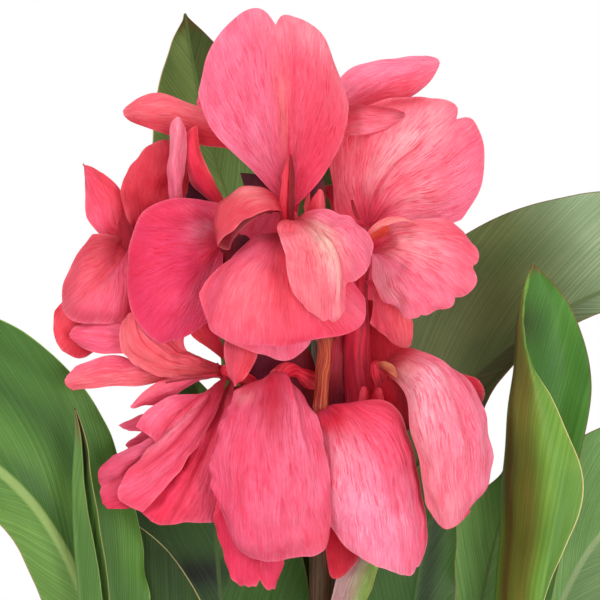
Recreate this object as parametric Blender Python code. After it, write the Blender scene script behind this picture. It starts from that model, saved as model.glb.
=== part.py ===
"""A flowering dwarf canna lily in a plain pot.

Each piece is one named object: the pot, the soil, the flower stalk, two side
shoots, ten leaves, nine corollas and the loose petals that open from their
mouths. Lengths in this file are millimetres until a mesh is made, when MM
turns them into metres. +Z is up, the front of the plant faces -Y, and the
origin is the middle of the pot's base.
"""

import math

import bpy
import numpy as np

MM = 0.001

# Driving dimensions
POT_HEIGHT = 210.0
POT_TOP_RADIUS = 122.0
POT_BASE_RADIUS = 88.0
POT_WALL = 3.0
POT_RIM = 28.0
POT_RIM_STEP = 4.0
SOIL_HEIGHT = 186.0
HEAD_HEIGHT = 770.0
SEAT_GAP = 0.35
PETAL_THICKNESS = 1.2
LEAF_THICKNESS = 1.6
BROAD_PETAL = 4
ROUND_SIDES = 48
SWELL_ROOM = 0.6
PETAL_GAP = 0.55
LEAF_GAP = 1.35
MOUTH_SHARE = 0.7
PETAL_SPREAD = 0.5
LEAF_SPREAD = 0.9

HEAD = np.array([0.0, 0.0, HEAD_HEIGHT])

PINK = (0.88, 0.16, 0.25)
THROAT_RED = (0.32, 0.02, 0.04)
LEAF_GREEN = (0.07, 0.19, 0.04)
STALK_BROWN = (0.10, 0.06, 0.03)
POT_GREY = (0.05, 0.05, 0.055)
SOIL_BROWN = (0.05, 0.03, 0.02)


# ---------------------------------------------------------------- materials


def make_material(name, colour, roughness, metallic=0.0):
    material = bpy.data.materials.new(name)
    material.use_nodes = True
    shader = material.node_tree.nodes["Principled BSDF"]
    shader.inputs["Base Color"].default_value = (*colour, 1.0)
    shader.inputs["Roughness"].default_value = roughness
    shader.inputs["Metallic"].default_value = metallic
    return material


# ---------------------------------------------------------------- geometry


def unit(vector):
    """The vectors along the last axis, each at length 1."""
    return vector / np.maximum(np.linalg.norm(vector, axis=-1, keepdims=True), 1e-9)


def smooth_curve(points, knots, straight_ends=False):
    """A function that gives the smooth curve through points, one at each knot."""
    points = np.array(points, float)
    order = 1 if straight_ends or len(points) < 3 else 2
    slopes = np.gradient(points, knots, axis=0, edge_order=order)

    def at(t):
        t = np.asarray(t, float)
        i = np.clip(np.searchsorted(knots, t, side="right") - 1, 0, len(knots) - 2)
        span = (knots[i + 1] - knots[i])
        u = (t - knots[i]) / span
        shape = u.shape + (1,) * (points.ndim - 1)
        u, span = u.reshape(shape), span.reshape(shape)
        return (
            (1 + 2 * u) * (1 - u) ** 2 * points[i]
            + u * (1 - u) ** 2 * span * slopes[i]
            + u**2 * (3 - 2 * u) * points[i + 1]
            + u**2 * (u - 1) * span * slopes[i + 1]
        )

    return at


def smooth_path(points):
    """The smooth curve through points, from 0 to 1 in step with its length."""
    points = np.array(points, float)
    knots = np.concatenate([[0.0], np.cumsum(np.linalg.norm(np.diff(points, axis=0), axis=1))])
    return smooth_curve(points, knots / knots[-1])


def tangent_of(path, t, step=1e-3):
    return unit(path(np.asarray(t) + step) - path(np.asarray(t) - step))


def sheet_points(ribs, rows, columns):
    """A grid of points, rows along the ribs and columns across them."""
    along = np.linspace(0, 1, rows + 1)
    curves = np.array([smooth_path(rib)(along) for rib in ribs])
    across = smooth_curve(curves, np.linspace(0, 1, len(ribs)), straight_ends=True)
    return across(np.linspace(0, 1, columns + 1)).transpose(1, 0, 2)


def normals_of(points):
    return unit(np.cross(np.gradient(points, axis=1), np.gradient(points, axis=0)))


def slab(points, thickness):
    """Vertices and faces of a closed sheet of this thickness about a grid of points."""
    rows, columns = points.shape[:2]
    shift = normals_of(points) * thickness / 2
    vertices = np.concatenate([points + shift, points - shift]).reshape(-1, 3)
    back = rows * columns

    def corner(i, j):
        return i * columns + j

    faces = []
    for i in range(rows - 1):
        for j in range(columns - 1):
            quad = corner(i, j), corner(i, j + 1), corner(i + 1, j + 1), corner(i + 1, j)
            faces.append(quad)
            faces.append(tuple(back + v for v in reversed(quad)))
    rim = [corner(0, j) for j in range(columns)]
    rim += [corner(i, columns - 1) for i in range(1, rows)]
    rim += [corner(rows - 1, j) for j in range(columns - 2, -1, -1)]
    rim += [corner(i, 0) for i in range(rows - 2, 0, -1)]
    for a, b in zip(rim, rim[1:] + rim[:1]):
        faces.append((b, a, back + a, back + b))
    return vertices, faces


def swept_tube(path, radius_at, rings, sides):
    """Vertices and faces of a closed round tube along a path."""
    t = np.linspace(0, 1, rings)
    centre = path(t)
    tangent = tangent_of(path, t)
    first = unit(np.cross(tangent, np.array([0.31, 0.23, 0.92])))
    second = np.cross(tangent, first)
    angle = np.linspace(0, 2 * np.pi, sides, endpoint=False)
    ring = (
        np.cos(angle)[None, :, None] * first[:, None]
        + np.sin(angle)[None, :, None] * second[:, None]
    )
    vertices = centre[:, None] + ring * radius_at(t)[:, None, None]
    faces = [
        (
            i * sides + j,
            i * sides + (j + 1) % sides,
            (i + 1) * sides + (j + 1) % sides,
            (i + 1) * sides + j,
        )
        for i in range(rings - 1)
        for j in range(sides)
    ]
    faces.append(tuple(reversed(range(sides))))
    faces.append(tuple(range((rings - 1) * sides, rings * sides)))
    return vertices.reshape(-1, 3), faces


def turned(profile, sides):
    """Vertices and faces of a closed outline of (radius, height) turned about Z."""
    angle = np.linspace(0, 2 * np.pi, sides, endpoint=False)
    vertices, rings = [], []
    for radius, height in profile:
        if radius == 0:
            rings.append([len(vertices)])
            vertices.append((0.0, 0.0, height))
            continue
        rings.append(list(range(len(vertices), len(vertices) + sides)))
        vertices += [(radius * math.cos(a), radius * math.sin(a), height) for a in angle]
    faces = []
    for low, high in zip(rings, rings[1:] + rings[:1]):
        if len(low) == 1 and len(high) == 1:
            continue
        for j in range(sides):
            k = (j + 1) % sides
            quad = [low[j % len(low)], low[k % len(low)], high[k % len(high)], high[j % len(high)]]
            faces.append(tuple(dict.fromkeys(quad)))
    return np.array(vertices), faces


def make_object(name, vertices, faces, material):
    mesh = bpy.data.meshes.new(name)
    mesh.from_pydata([tuple(v * MM) for v in np.asarray(vertices, float)], [], faces)
    mesh.validate()
    mesh.shade_smooth()
    mesh.set_sharp_from_angle(angle=math.radians(50))
    mesh.materials.append(material)
    made = bpy.data.objects.new(name, mesh)
    bpy.context.scene.collection.objects.link(made)


# ---------------------------------------------------------------- stems and corollas

# Places are (right, back, up) from the middle of the flower head, in millimetres.
STEMS = {
    "flower_stalk": dict(
        path=[
            (2, 2, -583.6), (2, 2, -560), (4, 4, -380), (8, 4, -200), (9, 4, -110), (9, 4, -40),
            (6, 6, 30),
        ],
        radii=(9.0, 8.0, 6.6, 5.6, 4.6, 3.0),
    ),
    "left_shoot": dict(
        path=[(-40, 12, -583.6), (-40, 12, -570), (-52, 8, -420), (-66, 2, -250)],
        radii=(8.5, 7.5, 3.5),
    ),
    "right_shoot": dict(
        path=[(42, 8, -583.6), (42, 8, -570), (54, 4, -420), (70, 0, -250)],
        radii=(8.5, 7.5, 3.5),
    ),
}

# A corolla leaves the stalk at the share joins of its length and bends out to
# its throat, where its petals open.
COROLLAS = {
    "top_front": dict(joins=0.955, bends=[(4, -14, 8), (-4, -30, 18)], throat=(-3, -44, 35)),
    "right": dict(joins=0.85, bends=[(22, -8, -44), (23, -12, -12)], throat=(27, -20, 29)),
    "upper_left": dict(joins=0.975, bends=[(-8, 0, 16), (-22, -12, 20)], throat=(-30, -27, 25)),
    "far_left": dict(joins=0.935, bends=[(-16, 8, -6), (-44, 6, 8)], throat=(-68, -10, 23)),
    "lower_left": dict(joins=0.86, bends=[(-8, -3, -43), (-18, -10, -34)], throat=(-31, -20, -28)),
    "lower_middle": dict(joins=0.895, bends=[(4, -10, -32), (-4, -20, -28)], throat=(-10, -32, -32)),
    "hanging": dict(joins=0.92, bends=[(10, -14, -14), (9, -22, -30)], throat=(8, -30, -46)),
    "lower_right": dict(joins=0.82, bends=[(20, -6, -66), (32, -14, -46)], throat=(30, -24, -25)),
    "top_back": dict(joins=1.0, bends=[(6, 9, 40), (6, 12, 50)], throat=(6, 14, 62)),
}

# A petal opens from its corolla at the share seat of the corolla's length. Its
# ribs run from there to its edge, first one side edge, last the other.
PETALS = {
    "standard": dict(of="top_front", seat=1.0, ribs=[
        [(-14, -44, 46), (-25, -43, 58), (-37, -42, 71), (-41, -42, 85)],
        [(-11, -47, 52), (-22, -50, 72), (-33, -42, 104)],
        [(-8, -49, 55), (-13, -54, 82), (-19, -44, 117)],
        [(-4, -50, 58), (-3, -55, 84), (-5, -44, 115)],
        [(0, -48, 54), (7, -51, 78), (9, -42, 107)],
        [(3, -44, 42), (10, -43, 51), (17, -42, 62), (19.5, -41, 84)],
    ]),
    "lip": dict(of="top_front", seat=0.98, ribs=[
        [(8, -56, 36), (20, -61, 33), (29.5, -60, 20)],
        [(8, -60, 31), (18, -70, 24), (26, -66, 9.5)],
        [(6, -62, 28), (14, -78, 16), (15.5, -78, 2), (15.5, -72, -8)],
        [(2, -62, 26), (6, -76, 14), (7, -73, -7.5)],
        [(-5, -58, 27), (-5, -69, 18), (-4, -74, 6), (-2, -73, 1)],
    ]),
    "apron": dict(of="top_front", seat=0.86, ribs=[
        [(-16, -49, 25.5), (-28, -54, 16.5), (-37, -53, 2)],
        [(-16, -56, 20), (-29, -64, 6), (-35, -58, -13)],
        [(-12, -58, 17), (-18, -68, 0), (-20, -60, -17.5)],
        [(-6, -59, 16), (-4, -68, 0), (-3, -60, -17.5)],
        [(0, -57, 16), (10, -65, 0), (13, -59, -13)],
        [(8, -52, 18), (20, -58, 6), (26.5, -57, -7)],
    ]),
    "under_apron": dict(of="top_front", seat=0.74, ribs=[
        [(-18, -43, 20), (-33, -47, 12.5), (-41, -48, 1)],
        [(-16, -46, 12), (-30, -51, -2), (-33, -50, -14)],
        [(-10, -48, 6), (-16, -53, -10), (-15, -50, -21.5)],
        [(-6, -48, 6), (-6, -53, -10), (-5, -50, -24)],
        [(-2, -45, 6), (2, -50, -8), (5, -49, -18.5)],
    ]),
    "left_drop": dict(of="top_front", seat=0.6, ribs=[
        [(-14, -35, 3), (-29, -40, -12), (-30, -42, -22), (-27, -42, -33)],
        [(-11, -37, 3), (-22, -43, -14), (-26, -43, -34.5)],
        [(-8, -35, 3), (-16, -41, -14), (-17, -42, -22), (-24, -42, -33)],
    ]),
    "left_curl": dict(of="top_front", seat=0.97, ribs=[
        [(-12, -46, 35), (-21, -48, 30), (-29, -52, 19)],
        [(-12, -46, 42), (-23, -49, 43), (-31, -52, 36), (-32, -55, 21)],
        [(-12, -51, 43), (-23, -57, 43), (-31, -60, 36), (-32, -60, 22)],
        [(-10, -57, 36), (-20, -64, 33), (-29, -66, 26)],
    ]),
    "left_wing": dict(of="top_front", seat=0.88, ribs=[
        [(-6, -33, 48), (-22, -27, 70), (-42, -23, 77), (-58, -25, 83), (-69, -27, 78)],
        [(-9, -35, 46), (-24, -31, 64), (-46, -26, 73.5), (-71, -28, 75.5)],
        [(-12, -33, 45), (-25, -29, 59), (-42, -24, 62.5), (-57, -26, 67.5),
         (-69.5, -28, 72)],
    ]),
    "right_fan": dict(of="right", seat=1.0, ribs=[
        [(10, -20, 36), (7, -23, 50), (10, -24, 70)],
        [(18, -25, 46), (17, -28, 62), (24, -25, 77)],
        [(26, -28, 50), (30, -31, 64), (40, -23, 81)],
        [(32, -29, 51), (42, -32, 64), (56, -21.5, 80.5)],
        [(36, -29, 48), (51, -30, 60), (68, -21, 74)],
        [(39, -27, 41), (57, -27, 48), (74, -20, 61)],
        [(38, -25, 35), (56, -23, 38), (73, -20, 47)],
        [(36, -23, 31.5), (50, -21, 31), (66, -19, 34.5)],
    ]),
    "right_lip": dict(of="right", seat=0.90, ribs=[
        [(38, -28, 29), (50, -34, 33), (64, -34, 32)],
        [(41, -34, 25), (56, -40, 24), (71, -36, 17)],
        [(41, -37, 20), (54, -43, 15), (68, -38, 4)],
        [(38, -37, 16), (46, -43, 8), (57, -40, -4)],
        [(33, -35, 15), (38, -40, 5), (44, -38, -7)],
        [(29, -31, 17), (29, -35, 9), (34, -35, -1)],
    ]),
    "right_curl": dict(of="right", seat=0.78, ribs=[
        [(29, -24, 2), (27.5, -26, -10)],
        [(35, -27, 2), (36, -30, -8), (38, -26, -17)],
        [(40, -24, 2), (45, -26, -8), (44, -24, -20)],
    ]),
    "left_broad": dict(of="upper_left", seat=1.0, ribs=[
        [(-31, -32, 31), (-33, -34, 39.5)],
        [(-38, -36, 33), (-50, -39, 40.5)],
        [(-42, -39, 28), (-54, -43, 30), (-64.5, -40, 33)],
        [(-44, -41, 20), (-57, -46, 18), (-69, -40, 14)],
        [(-43, -41, 12), (-56, -46, 3), (-66.5, -40, -6)],
        [(-40, -39, 8), (-48, -44, -6), (-57, -40, -16)],
        [(-36, -36, 9), (-40, -40, -4), (-44, -38, -14)],
        [(-31, -33, 13), (-31, -37, 3), (-34, -38, -7)],
    ]),
    "left_upright": dict(of="upper_left", seat=0.84, ribs=[
        [(-43, -29, 35), (-50.5, -33, 44), (-52, -34, 56), (-51.5, -34, 68)],
        [(-41, -32, 36), (-48, -38, 46), (-49, -38, 60), (-49, -36, 73.5)],
        [(-39, -30, 38), (-45, -34, 47), (-45.5, -34, 58), (-46.5, -35, 70)],
    ]),
    "left_strap": dict(of="upper_left", seat=0.70, ribs=[
        [(-37, -22, 38), (-43.5, -26, 48), (-45, -28, 62)],
        [(-33, -24, 41), (-39, -30, 55), (-43, -30, 70)],
        [(-28, -22, 41), (-32, -27, 50), (-38, -29, 65)],
    ]),
    "far_left_round": dict(of="far_left", seat=0.98, ribs=[
        [(-68, -18, 31), (-71.5, -19, 40), (-70, -19, 50)],
        [(-65, -20, 34), (-66, -22, 47), (-63, -20, 59.5)],
        [(-61, -21, 34), (-58, -23, 49), (-54, -21, 64)],
        [(-56, -18, 32), (-51, -20, 44), (-48, -19, 59)],
    ]),
    "far_left_point": dict(of="far_left", seat=1.0, ribs=[
        [(-78, -13, 25), (-85, -14, 32), (-86, -14, 44), (-86, -12, 52)],
        [(-73, -15, 29), (-78, -17, 41), (-87.5, -12, 55)],
        [(-67, -12, 30), (-69.5, -14, 40), (-79, -13, 51)],
    ]),
    "far_left_broad": dict(of="far_left", seat=1.0, ribs=[
        [(-76, -18, 26), (-84, -20, 26.5)],
        [(-80, -22, 20), (-91.5, -22, 14.5)],
        [(-80, -25, 12), (-96, -24, 1)],
        [(-77, -26, 8), (-84, -30, 0), (-91, -27, -7)],
        [(-72, -26, 10), (-73, -30, 0), (-77, -28, -8)],
        [(-68, -23, 12), (-66, -27, 2), (-65, -26, -7)],
    ]),
    "far_left_rear": dict(of="far_left", seat=0.86, ribs=[
        [(-84, -14, 8), (-95, -16, 0), (-99.5, -18, -6)],
        [(-82, -16, 2), (-92, -20, -8), (-97.5, -19, -17)],
        [(-78, -16, 0), (-85, -20, -12), (-89, -19, -23.5)],
        [(-73, -14, 2), (-75, -18, -8), (-79, -18, -18)],
    ]),
    "star_upper": dict(of="lower_left", seat=0.95, ribs=[
        [(-50, -22, -18), (-66, -24, -9), (-80, -25, -8), (-89, -24, -11)],
        [(-50, -25, -22), (-68, -28, -16), (-92.5, -25, -14)],
        [(-50, -23, -25), (-68, -26, -21), (-80, -26, -21.5), (-89, -24, -18.5)],
    ]),
    "star_curled": dict(of="lower_left", seat=1.0, ribs=[
        [(-42, -26, -30), (-58, -32, -29.5), (-71, -35, -20), (-71.5, -34, -8)],
        [(-42, -28, -27), (-56, -36, -24), (-65, -38, -16), (-67, -35, -5)],
        [(-41, -27, -25), (-52, -34, -20), (-59, -36, -14), (-61, -34, -10)],
        [(-40, -25, -23), (-46, -29, -20), (-46, -30, -14)],
    ]),
    "star_long": dict(of="lower_left", seat=0.865, ribs=[
        [(-45, -20, -28), (-62, -22, -25.5), (-78, -24, -22.5), (-90, -23, -27)],
        [(-45, -22, -29), (-65, -27, -28), (-94, -24, -32.5)],
        [(-45, -20, -30.5), (-62, -24, -34), (-80, -25, -35), (-91, -23, -36)],
    ]),
    "star_lower": dict(of="lower_left", seat=0.79, ribs=[
        [(-45, -16, -31), (-60, -18, -33.5), (-66, -18, -43)],
        [(-45, -18, -33.5), (-57, -20, -37.5), (-65, -19, -44)],
        [(-42, -16, -36), (-53, -18, -38.5), (-60, -17, -43.5)],
    ]),
    "skirt_left_upper": dict(of="lower_left", seat=0.98, ribs=[
        [(-38, -29, -35), (-50, -34, -37.5), (-60, -34, -44)],
        [(-40, -32, -38), (-54, -37, -46), (-66, -34, -51)],
        [(-40, -33, -42), (-56, -38, -56), (-73, -34, -61)],
        [(-39, -34, -45), (-55, -40, -62), (-81, -36, -71)],
        [(-37, -34, -46), (-52, -41, -66), (-79, -37, -82.5)],
        [(-34, -33, -46), (-48, -40, -68), (-66, -38, -84.5)],
    ]),
    "skirt_left_lower": dict(of="lower_left", seat=0.90, ribs=[
        [(-35, -26, -44), (-48, -32, -66), (-66, -32, -84)],
        [(-33, -28, -46), (-44, -35, -68), (-57, -34, -89.5)],
        [(-31, -29, -46), (-38, -36, -68), (-46, -34, -89)],
        [(-29, -29, -46), (-32, -35, -68), (-34, -34, -88.5)],
        [(-27, -27, -44), (-27, -33, -64), (-27, -32, -82)],
    ]),
    "skirt_left_rear": dict(of="lower_left", seat=0.74, ribs=[
        [(-44, -20, -42), (-60, -24, -47), (-72.5, -25, -51)],
        [(-42, -22, -45), (-56, -27, -52), (-70, -25, -57)],
        [(-38, -21, -46), (-54, -25, -57), (-64, -24, -62)],
    ]),
    "skirt_middle": dict(of="lower_middle", seat=1.0, ribs=[
        [(-22, -42, -36), (-31, -50, -46), (-36, -52, -63), (-31.5, -52, -85)],
        [(-19, -48, -38.5), (-27, -60, -55), (-28, -62, -76), (-25, -54, -98.5)],
        [(-14.5, -51, -40), (-18, -66, -59), (-17, -66, -82), (-15, -54, -104.5)],
        [(-9.5, -52, -40), (-9, -68, -59), (-5, -66, -82), (-3, -54, -103)],
        [(-5, -50, -39), (0, -64, -57), (4, -62, -80), (8, -54, -100)],
        [(0, -44, -36), (8, -53, -51), (11, -56, -68), (12, -54, -95)],
    ]),
    "skirt_under": dict(of="lower_middle", seat=0.84, ribs=[
        [(-20, -36, -50), (-30, -41, -72), (-35, -42, -92.5)],
        [(-17, -38, -54), (-26, -45, -80), (-27, -44, -111)],
        [(-14, -39, -56), (-20, -47, -84), (-20, -44, -115)],
        [(-11, -39, -56), (-14, -46, -84), (-11, -44, -116)],
        [(-8, -36, -54), (-8, -43, -80), (-6.5, -42, -112)],
    ]),
    "skirt_right": dict(of="hanging", seat=0.98, ribs=[
        [(9, -38, -50), (11, -45, -62), (11, -47, -76), (13, -46, -88)],
        [(13, -46, -50), (19, -58, -64), (22, -60, -82), (24, -50, -103)],
        [(17, -50, -47), (27, -62, -62), (33, -61, -82), (38, -50, -108.5)],
        [(20, -48, -44), (33, -57, -56), (42, -55, -78), (48, -49, -108)],
        [(20, -42, -42), (34, -47, -43), (43, -49, -56), (48, -49, -78), (51, -48, -100)],
    ]),
    "skirt_tail": dict(of="hanging", seat=0.84, ribs=[
        [(8, -25, -62), (9, -27, -84), (12, -26, -112)],
        [(11, -26, -62), (15, -29, -84), (17, -27, -111)],
        [(14, -25, -60), (20, -28, -82), (24.5, -27, -103)],
    ]),
    "skirt_far_right": dict(of="lower_right", seat=0.98, ribs=[
        [(36, -34, -31), (41, -46, -36), (43, -54, -50), (48, -58, -68), (50, -56, -83)],
        [(38, -38, -27), (47, -56, -36), (51, -64, -56), (54, -64, -74), (57, -56, -91)],
        [(40, -38, -23), (53, -55, -30), (60, -63, -50), (63, -62, -68), (64, -54, -88)],
        [(40, -34, -21), (56, -49, -25), (67, -56, -42), (71, -57, -58), (71.5, -52, -79)],
        [(40, -28, -20), (56, -40, -23.5), (69, -46, -34), (75, -49, -50), (78, -49, -66)],
    ]),
    "right_edge": dict(of="lower_right", seat=0.84, ribs=[
        [(46, -20, -22), (60, -24, -28), (72, -26, -31.5)],
        [(46, -22, -27), (60, -27, -36), (74, -27, -38)],
        [(44, -20, -32), (56, -25, -42), (71, -26, -44)],
    ]),
    "crest_right": dict(of="top_back", seat=0.92, ribs=[
        [(10, 6, 78), (22, 0, 94.5), (40, -4, 98), (53, -6, 98)],
        [(14, 3, 76), (30, -6, 87), (55.5, -8, 94)],
        [(16, 5, 70), (28, -1, 77), (40, -4, 79.5), (53, -6, 88.5)],
    ]),
    "crest_left": dict(of="top_back", seat=0.92, ribs=[
        [(-10, 12, 78), (-22, 14, 88), (-34, 14, 92)],
        [(-12, 8, 72), (-26, 8, 78), (-42, 12, 80)],
        [(-10, 12, 64), (-24, 14, 66), (-38, 14, 66)],
    ]),
    "crest_rear": dict(of="top_back", seat=1.0, ribs=[
        [(-6, 24, 70), (-14, 34, 70), (-20, 40, 56)],
        [(2, 24, 78), (-2, 38, 84), (-6, 46, 62)],
        [(9, 24, 78), (14, 38, 84), (16, 46, 62)],
        [(14, 22, 70), (26, 32, 70), (32, 38, 54)],
    ]),
    "rear_left_drop": dict(of="top_back", seat=0.6, ribs=[
        [(-10, 24, 46), (-26, 32, 30), (-30, 34, 4)],
        [(-4, 28, 42), (-14, 40, 22), (-18, 40, -8)],
        [(0, 26, 40), (-2, 36, 20), (-4, 36, -2)],
    ]),
    "rear_right_drop": dict(of="top_back", seat=0.5, ribs=[
        [(12, 26, 40), (12, 36, 20), (12, 36, -4)],
        [(15, 28, 42), (26, 40, 22), (28, 40, -10)],
        [(20, 24, 46), (38, 32, 30), (42, 34, 4)],
    ]),
}


def stem_path(stem):
    return smooth_path([HEAD + p for p in stem["path"]])


def stem_radius(stem):
    radii = stem["radii"]

    def at(t):
        return np.interp(t, np.linspace(0, 1, len(radii)), radii)

    return at


def corolla_path(corolla):
    """From just outside the stalk to the throat."""
    stalk = stem_path(STEMS["flower_stalk"])
    on_axis = stalk(corolla["joins"])
    outward = HEAD + corolla["bends"][0] - on_axis
    reach = SEAT_GAP
    if corolla["joins"] < 1:
        along = tangent_of(stalk, corolla["joins"])
        outward = outward - (outward @ along) * along
        reach += stem_radius(STEMS["flower_stalk"])(corolla["joins"]) + SWELL_ROOM
    start = on_axis + unit(outward) * reach
    return smooth_path([start, *(HEAD + b for b in corolla["bends"]), HEAD + corolla["throat"]])


def corolla_radius(t):
    """A thin stalklet, the swollen ovary, the slimmer tube and the mouth."""
    places = [0.0, 0.08, 0.25, 0.40, 0.60, 0.90, 1.0]
    radii = [1.4, 3.0, 4.3, 3.4, 2.5, 2.9, 2.4]
    return np.interp(t, places, radii)


def seated_ribs(path, radius_at, seat, ribs, gap, spread):
    """The ribs with each one's first point a gap outside what carries it.

    They leave the side of the path, or the flat of its end when seat is 1.
    """
    centre = path(seat)
    along = tangent_of(path, seat)
    firsts = np.array([HEAD + rib[0] for rib in ribs])
    middle = firsts.mean(axis=0) - centre
    middle = unit(middle - (middle @ along) * along)
    sideways = np.cross(along, middle)
    turn = math.copysign(spread, (firsts[-1] - firsts[0]) @ sideways)
    angle = np.linspace(-turn, turn, len(ribs))[:, None]
    outward = np.cos(angle) * middle + np.sin(angle) * sideways
    if seat < 1:
        starts = centre + outward * (radius_at(seat) + gap)
    else:
        starts = centre + outward * radius_at(seat) * MOUTH_SHARE + along * gap
    return [[start, *(HEAD + p for p in rib)] for start, rib in zip(starts, ribs)]


def make_petals(material):
    for name, petal in PETALS.items():
        path = corolla_path(COROLLAS[petal["of"]])
        ribs = seated_ribs(
            path, corolla_radius, petal["seat"], petal["ribs"], PETAL_GAP, PETAL_SPREAD
        )
        broad = len(ribs) >= BROAD_PETAL
        points = sheet_points(ribs, rows=7 if broad else 6, columns=6 if broad else 4)
        make_object("petal_" + name, *slab(points, PETAL_THICKNESS), material)


def make_corollas(material):
    for name, corolla in COROLLAS.items():
        tube = swept_tube(corolla_path(corolla), corolla_radius, rings=14, sides=8)
        make_object("corolla_" + name, *tube, material)


def make_stems(material):
    for name, stem in STEMS.items():
        tube = swept_tube(stem_path(stem), stem_radius(stem), rings=20, sides=10)
        make_object(name, *tube, material)


# ---------------------------------------------------------------- leaves

# A leaf clasps its stem at the share seat of the stem's length. Its ribs run
# up one edge, up the midrib and up the other edge, and close in at its tip.
LEAVES = {
    "rear_left": dict(of="flower_stalk", seat=0.33, ribs=[
        [(-14, 24, -310), (-24, 40, -200), (-28, 48, -100), (-30, 52, -40), (-38, 55, 0),
         (-56, 57, 36), (-61.5, 57, 66), (-47.6, 52, 113)],
        [(2, 36, -310), (-2, 56, -200), (-4, 65, -100), (-8, 67, -40), (-16, 67, 0),
         (-38, 63, 70), (-46.8, 52, 115)],
        [(18, 26, -310), (18, 46, -200), (12, 55, -100), (12, 60, -10), (8, 60, 50),
         (-18, 57, 88), (-45.6, 52, 114)],
    ]),
    "right_arch": dict(of="flower_stalk", seat=0.48, ribs=[
        [(14, 20, -240), (20, 34, -140), (32, 45, -40), (56, 44, 18), (82, 40, 34.5),
         (120, 32, 44), (172, 22, 44), (210, 16, 30)],
        [(22, 16, -240), (38, 34, -140), (54, 48, -50), (88, 46, -16), (120, 40, 2),
         (168, 26, 18), (211, 16, 28.5)],
        [(28, 6, -240), (48, 22, -150), (64, 38, -70), (87, 44, -26.5), (118, 42, -7),
         (162, 30, 6), (210, 17, 27)],
    ]),
    "right_rolled": dict(of="right_shoot", seat=0.95, ribs=[
        [(84, 10, -230), (98, 18, -140), (112, 16, -70), (117.5, 10, -28), (108, 6, -1),
         (94.6, 1.5, 14)],
        [(80, 12, -230), (86, 18, -140), (97, 17, -70), (104, 13, -28), (100, 6, 0),
         (94.3, 1, 14.4)],
        [(77, 4, -230), (78, 2, -140), (82, 0, -70), (86, 0, -28), (90, 0, -2), (93.8, 0, 14.8)],
        [(81, -9, -230), (90, -24, -140), (98, -28, -84), (93, -20, -36), (89.5, -8, -6),
         (93.4, -0.6, 13.6)],
        [(86, -9, -230), (98, -26, -119), (113.5, -27, -72), (104, -22, -46), (91.5, -13, -20),
         (92.8, -1.4, 10)],
    ]),
    "right_low": dict(of="right_shoot", seat=0.70, ribs=[
        [(56, 22, -320), (72, 36, -210), (92, 36, -120), (108, 31, -60), (142, 20, -46),
         (196, 8, -50), (232, 0, -60)],
        [(66, 24, -320), (86, 38, -220), (103, 38, -130), (122, 29, -96), (160, 15, -72),
         (200, 6, -62), (233, 0, -61.6)],
        [(76, 16, -320), (102, 26, -230), (128, 24, -170), (156, 15, -130), (188, 6, -96),
         (214, 2, -76), (232.6, 0, -63)],
    ]),
    "right_inner": dict(of="right_shoot", seat=0.82, ribs=[
        [(54, 4, -270), (52, 12, -190), (54, 18, -118), (59, 20, -98), (69, 22, -83),
         (84, 24, -66), (92, 26, -48)],
        [(60, 12, -270), (62, 20, -190), (67, 25, -125), (74, 26, -98), (82, 27, -77),
         (92.5, 26.5, -47)],
        [(68, 12, -270), (70, 18, -200), (74, 24, -130), (84, 26, -100), (91, 27, -76),
         (93.6, 27, -48)],
    ]),
    "middle_right": dict(of="flower_stalk", seat=0.37, ribs=[
        [(12, -16, -320), (14, -22, -240), (20, -20, -150), (30, -14, -100), (42, -10, -74),
         (56, -8, -58)],
        [(24, -8, -320), (32, -8, -240), (42, -6, -150), (48, -4, -110), (53, -5, -82),
         (57, -7, -57)],
        [(24, 4, -320), (42, 5, -240), (56, 4, -160), (62, 3, -120), (63, 0, -86), (58, -6, -58)],
    ]),
    "left_broad": dict(of="left_shoot", seat=0.95, ribs=[
        [(-61, -7, -220), (-62, -3, -150), (-66, -4, -86), (-83, -8, -41), (-120, -8, -8),
         (-172, -12, 0), (-232, -16, -35)],
        [(-74, -9, -220), (-79, -14, -150), (-89, -18, -113), (-106, -20, -83), (-142, -22, -54),
         (-188, -20, -38), (-233.5, -16, -37)],
        [(-82, 2, -220), (-94, -8, -160), (-104, -14, -120), (-120, -17, -91), (-150, -20, -72),
         (-192, -19, -54), (-233, -17, -39)],
    ]),
    "left_rolled": dict(of="left_shoot", seat=0.84, ribs=[
        [(-70, -18, -250), (-76, -34, -170), (-80, -38, -110), (-86, -34, -74), (-88, -30, -52),
         (-90, -28, -44)],
        [(-76, -16, -250), (-84, -30, -170), (-88, -34, -110), (-90, -31, -74),
         (-89.6, -29, -52), (-90.4, -27, -43)],
        [(-72, -12, -250), (-80, -24, -170), (-83, -28, -110), (-87, -28, -74),
         (-88, -27.6, -52), (-90, -26.2, -43.4)],
        [(-66, -14, -250), (-73, -28, -170), (-77, -34, -110), (-83, -32, -74),
         (-86.6, -29.5, -52), (-89.4, -27, -44.4)],
    ]),
    "low_left": dict(of="flower_stalk", seat=0.28, ribs=[
        [(-18, 10, -380), (-40, 10, -280), (-66, 11, -190), (-86, 9, -130), (-84, 6, -84)],
        [(-18, -6, -380), (-26, -6, -280), (-44, 0, -190), (-62, 3, -130), (-83, 6, -83)],
        [(-4, -14, -380), (-8, -16, -280), (-18, -10, -190), (-38, -2, -124), (-56, 1, -98),
         (-82, 6, -83)],
    ]),
    "low_rear": dict(of="flower_stalk", seat=0.41, ribs=[
        [(-10, 12, -300), (-36, 20, -230), (-62, 25, -160), (-72, 24, -100), (-62, 24, -60),
         (-45, 25, -31)],
        [(-2, 18, -300), (-16, 28, -230), (-28, 35, -160), (-34, 35, -100), (-36, 30, -60),
         (-44, 25, -30)],
        [(10, 16, -300), (9, 25, -230), (6, 30, -160), (2, 30, -110), (-14, 28, -66),
         (-43, 25, -31)],
    ]),
}


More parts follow.
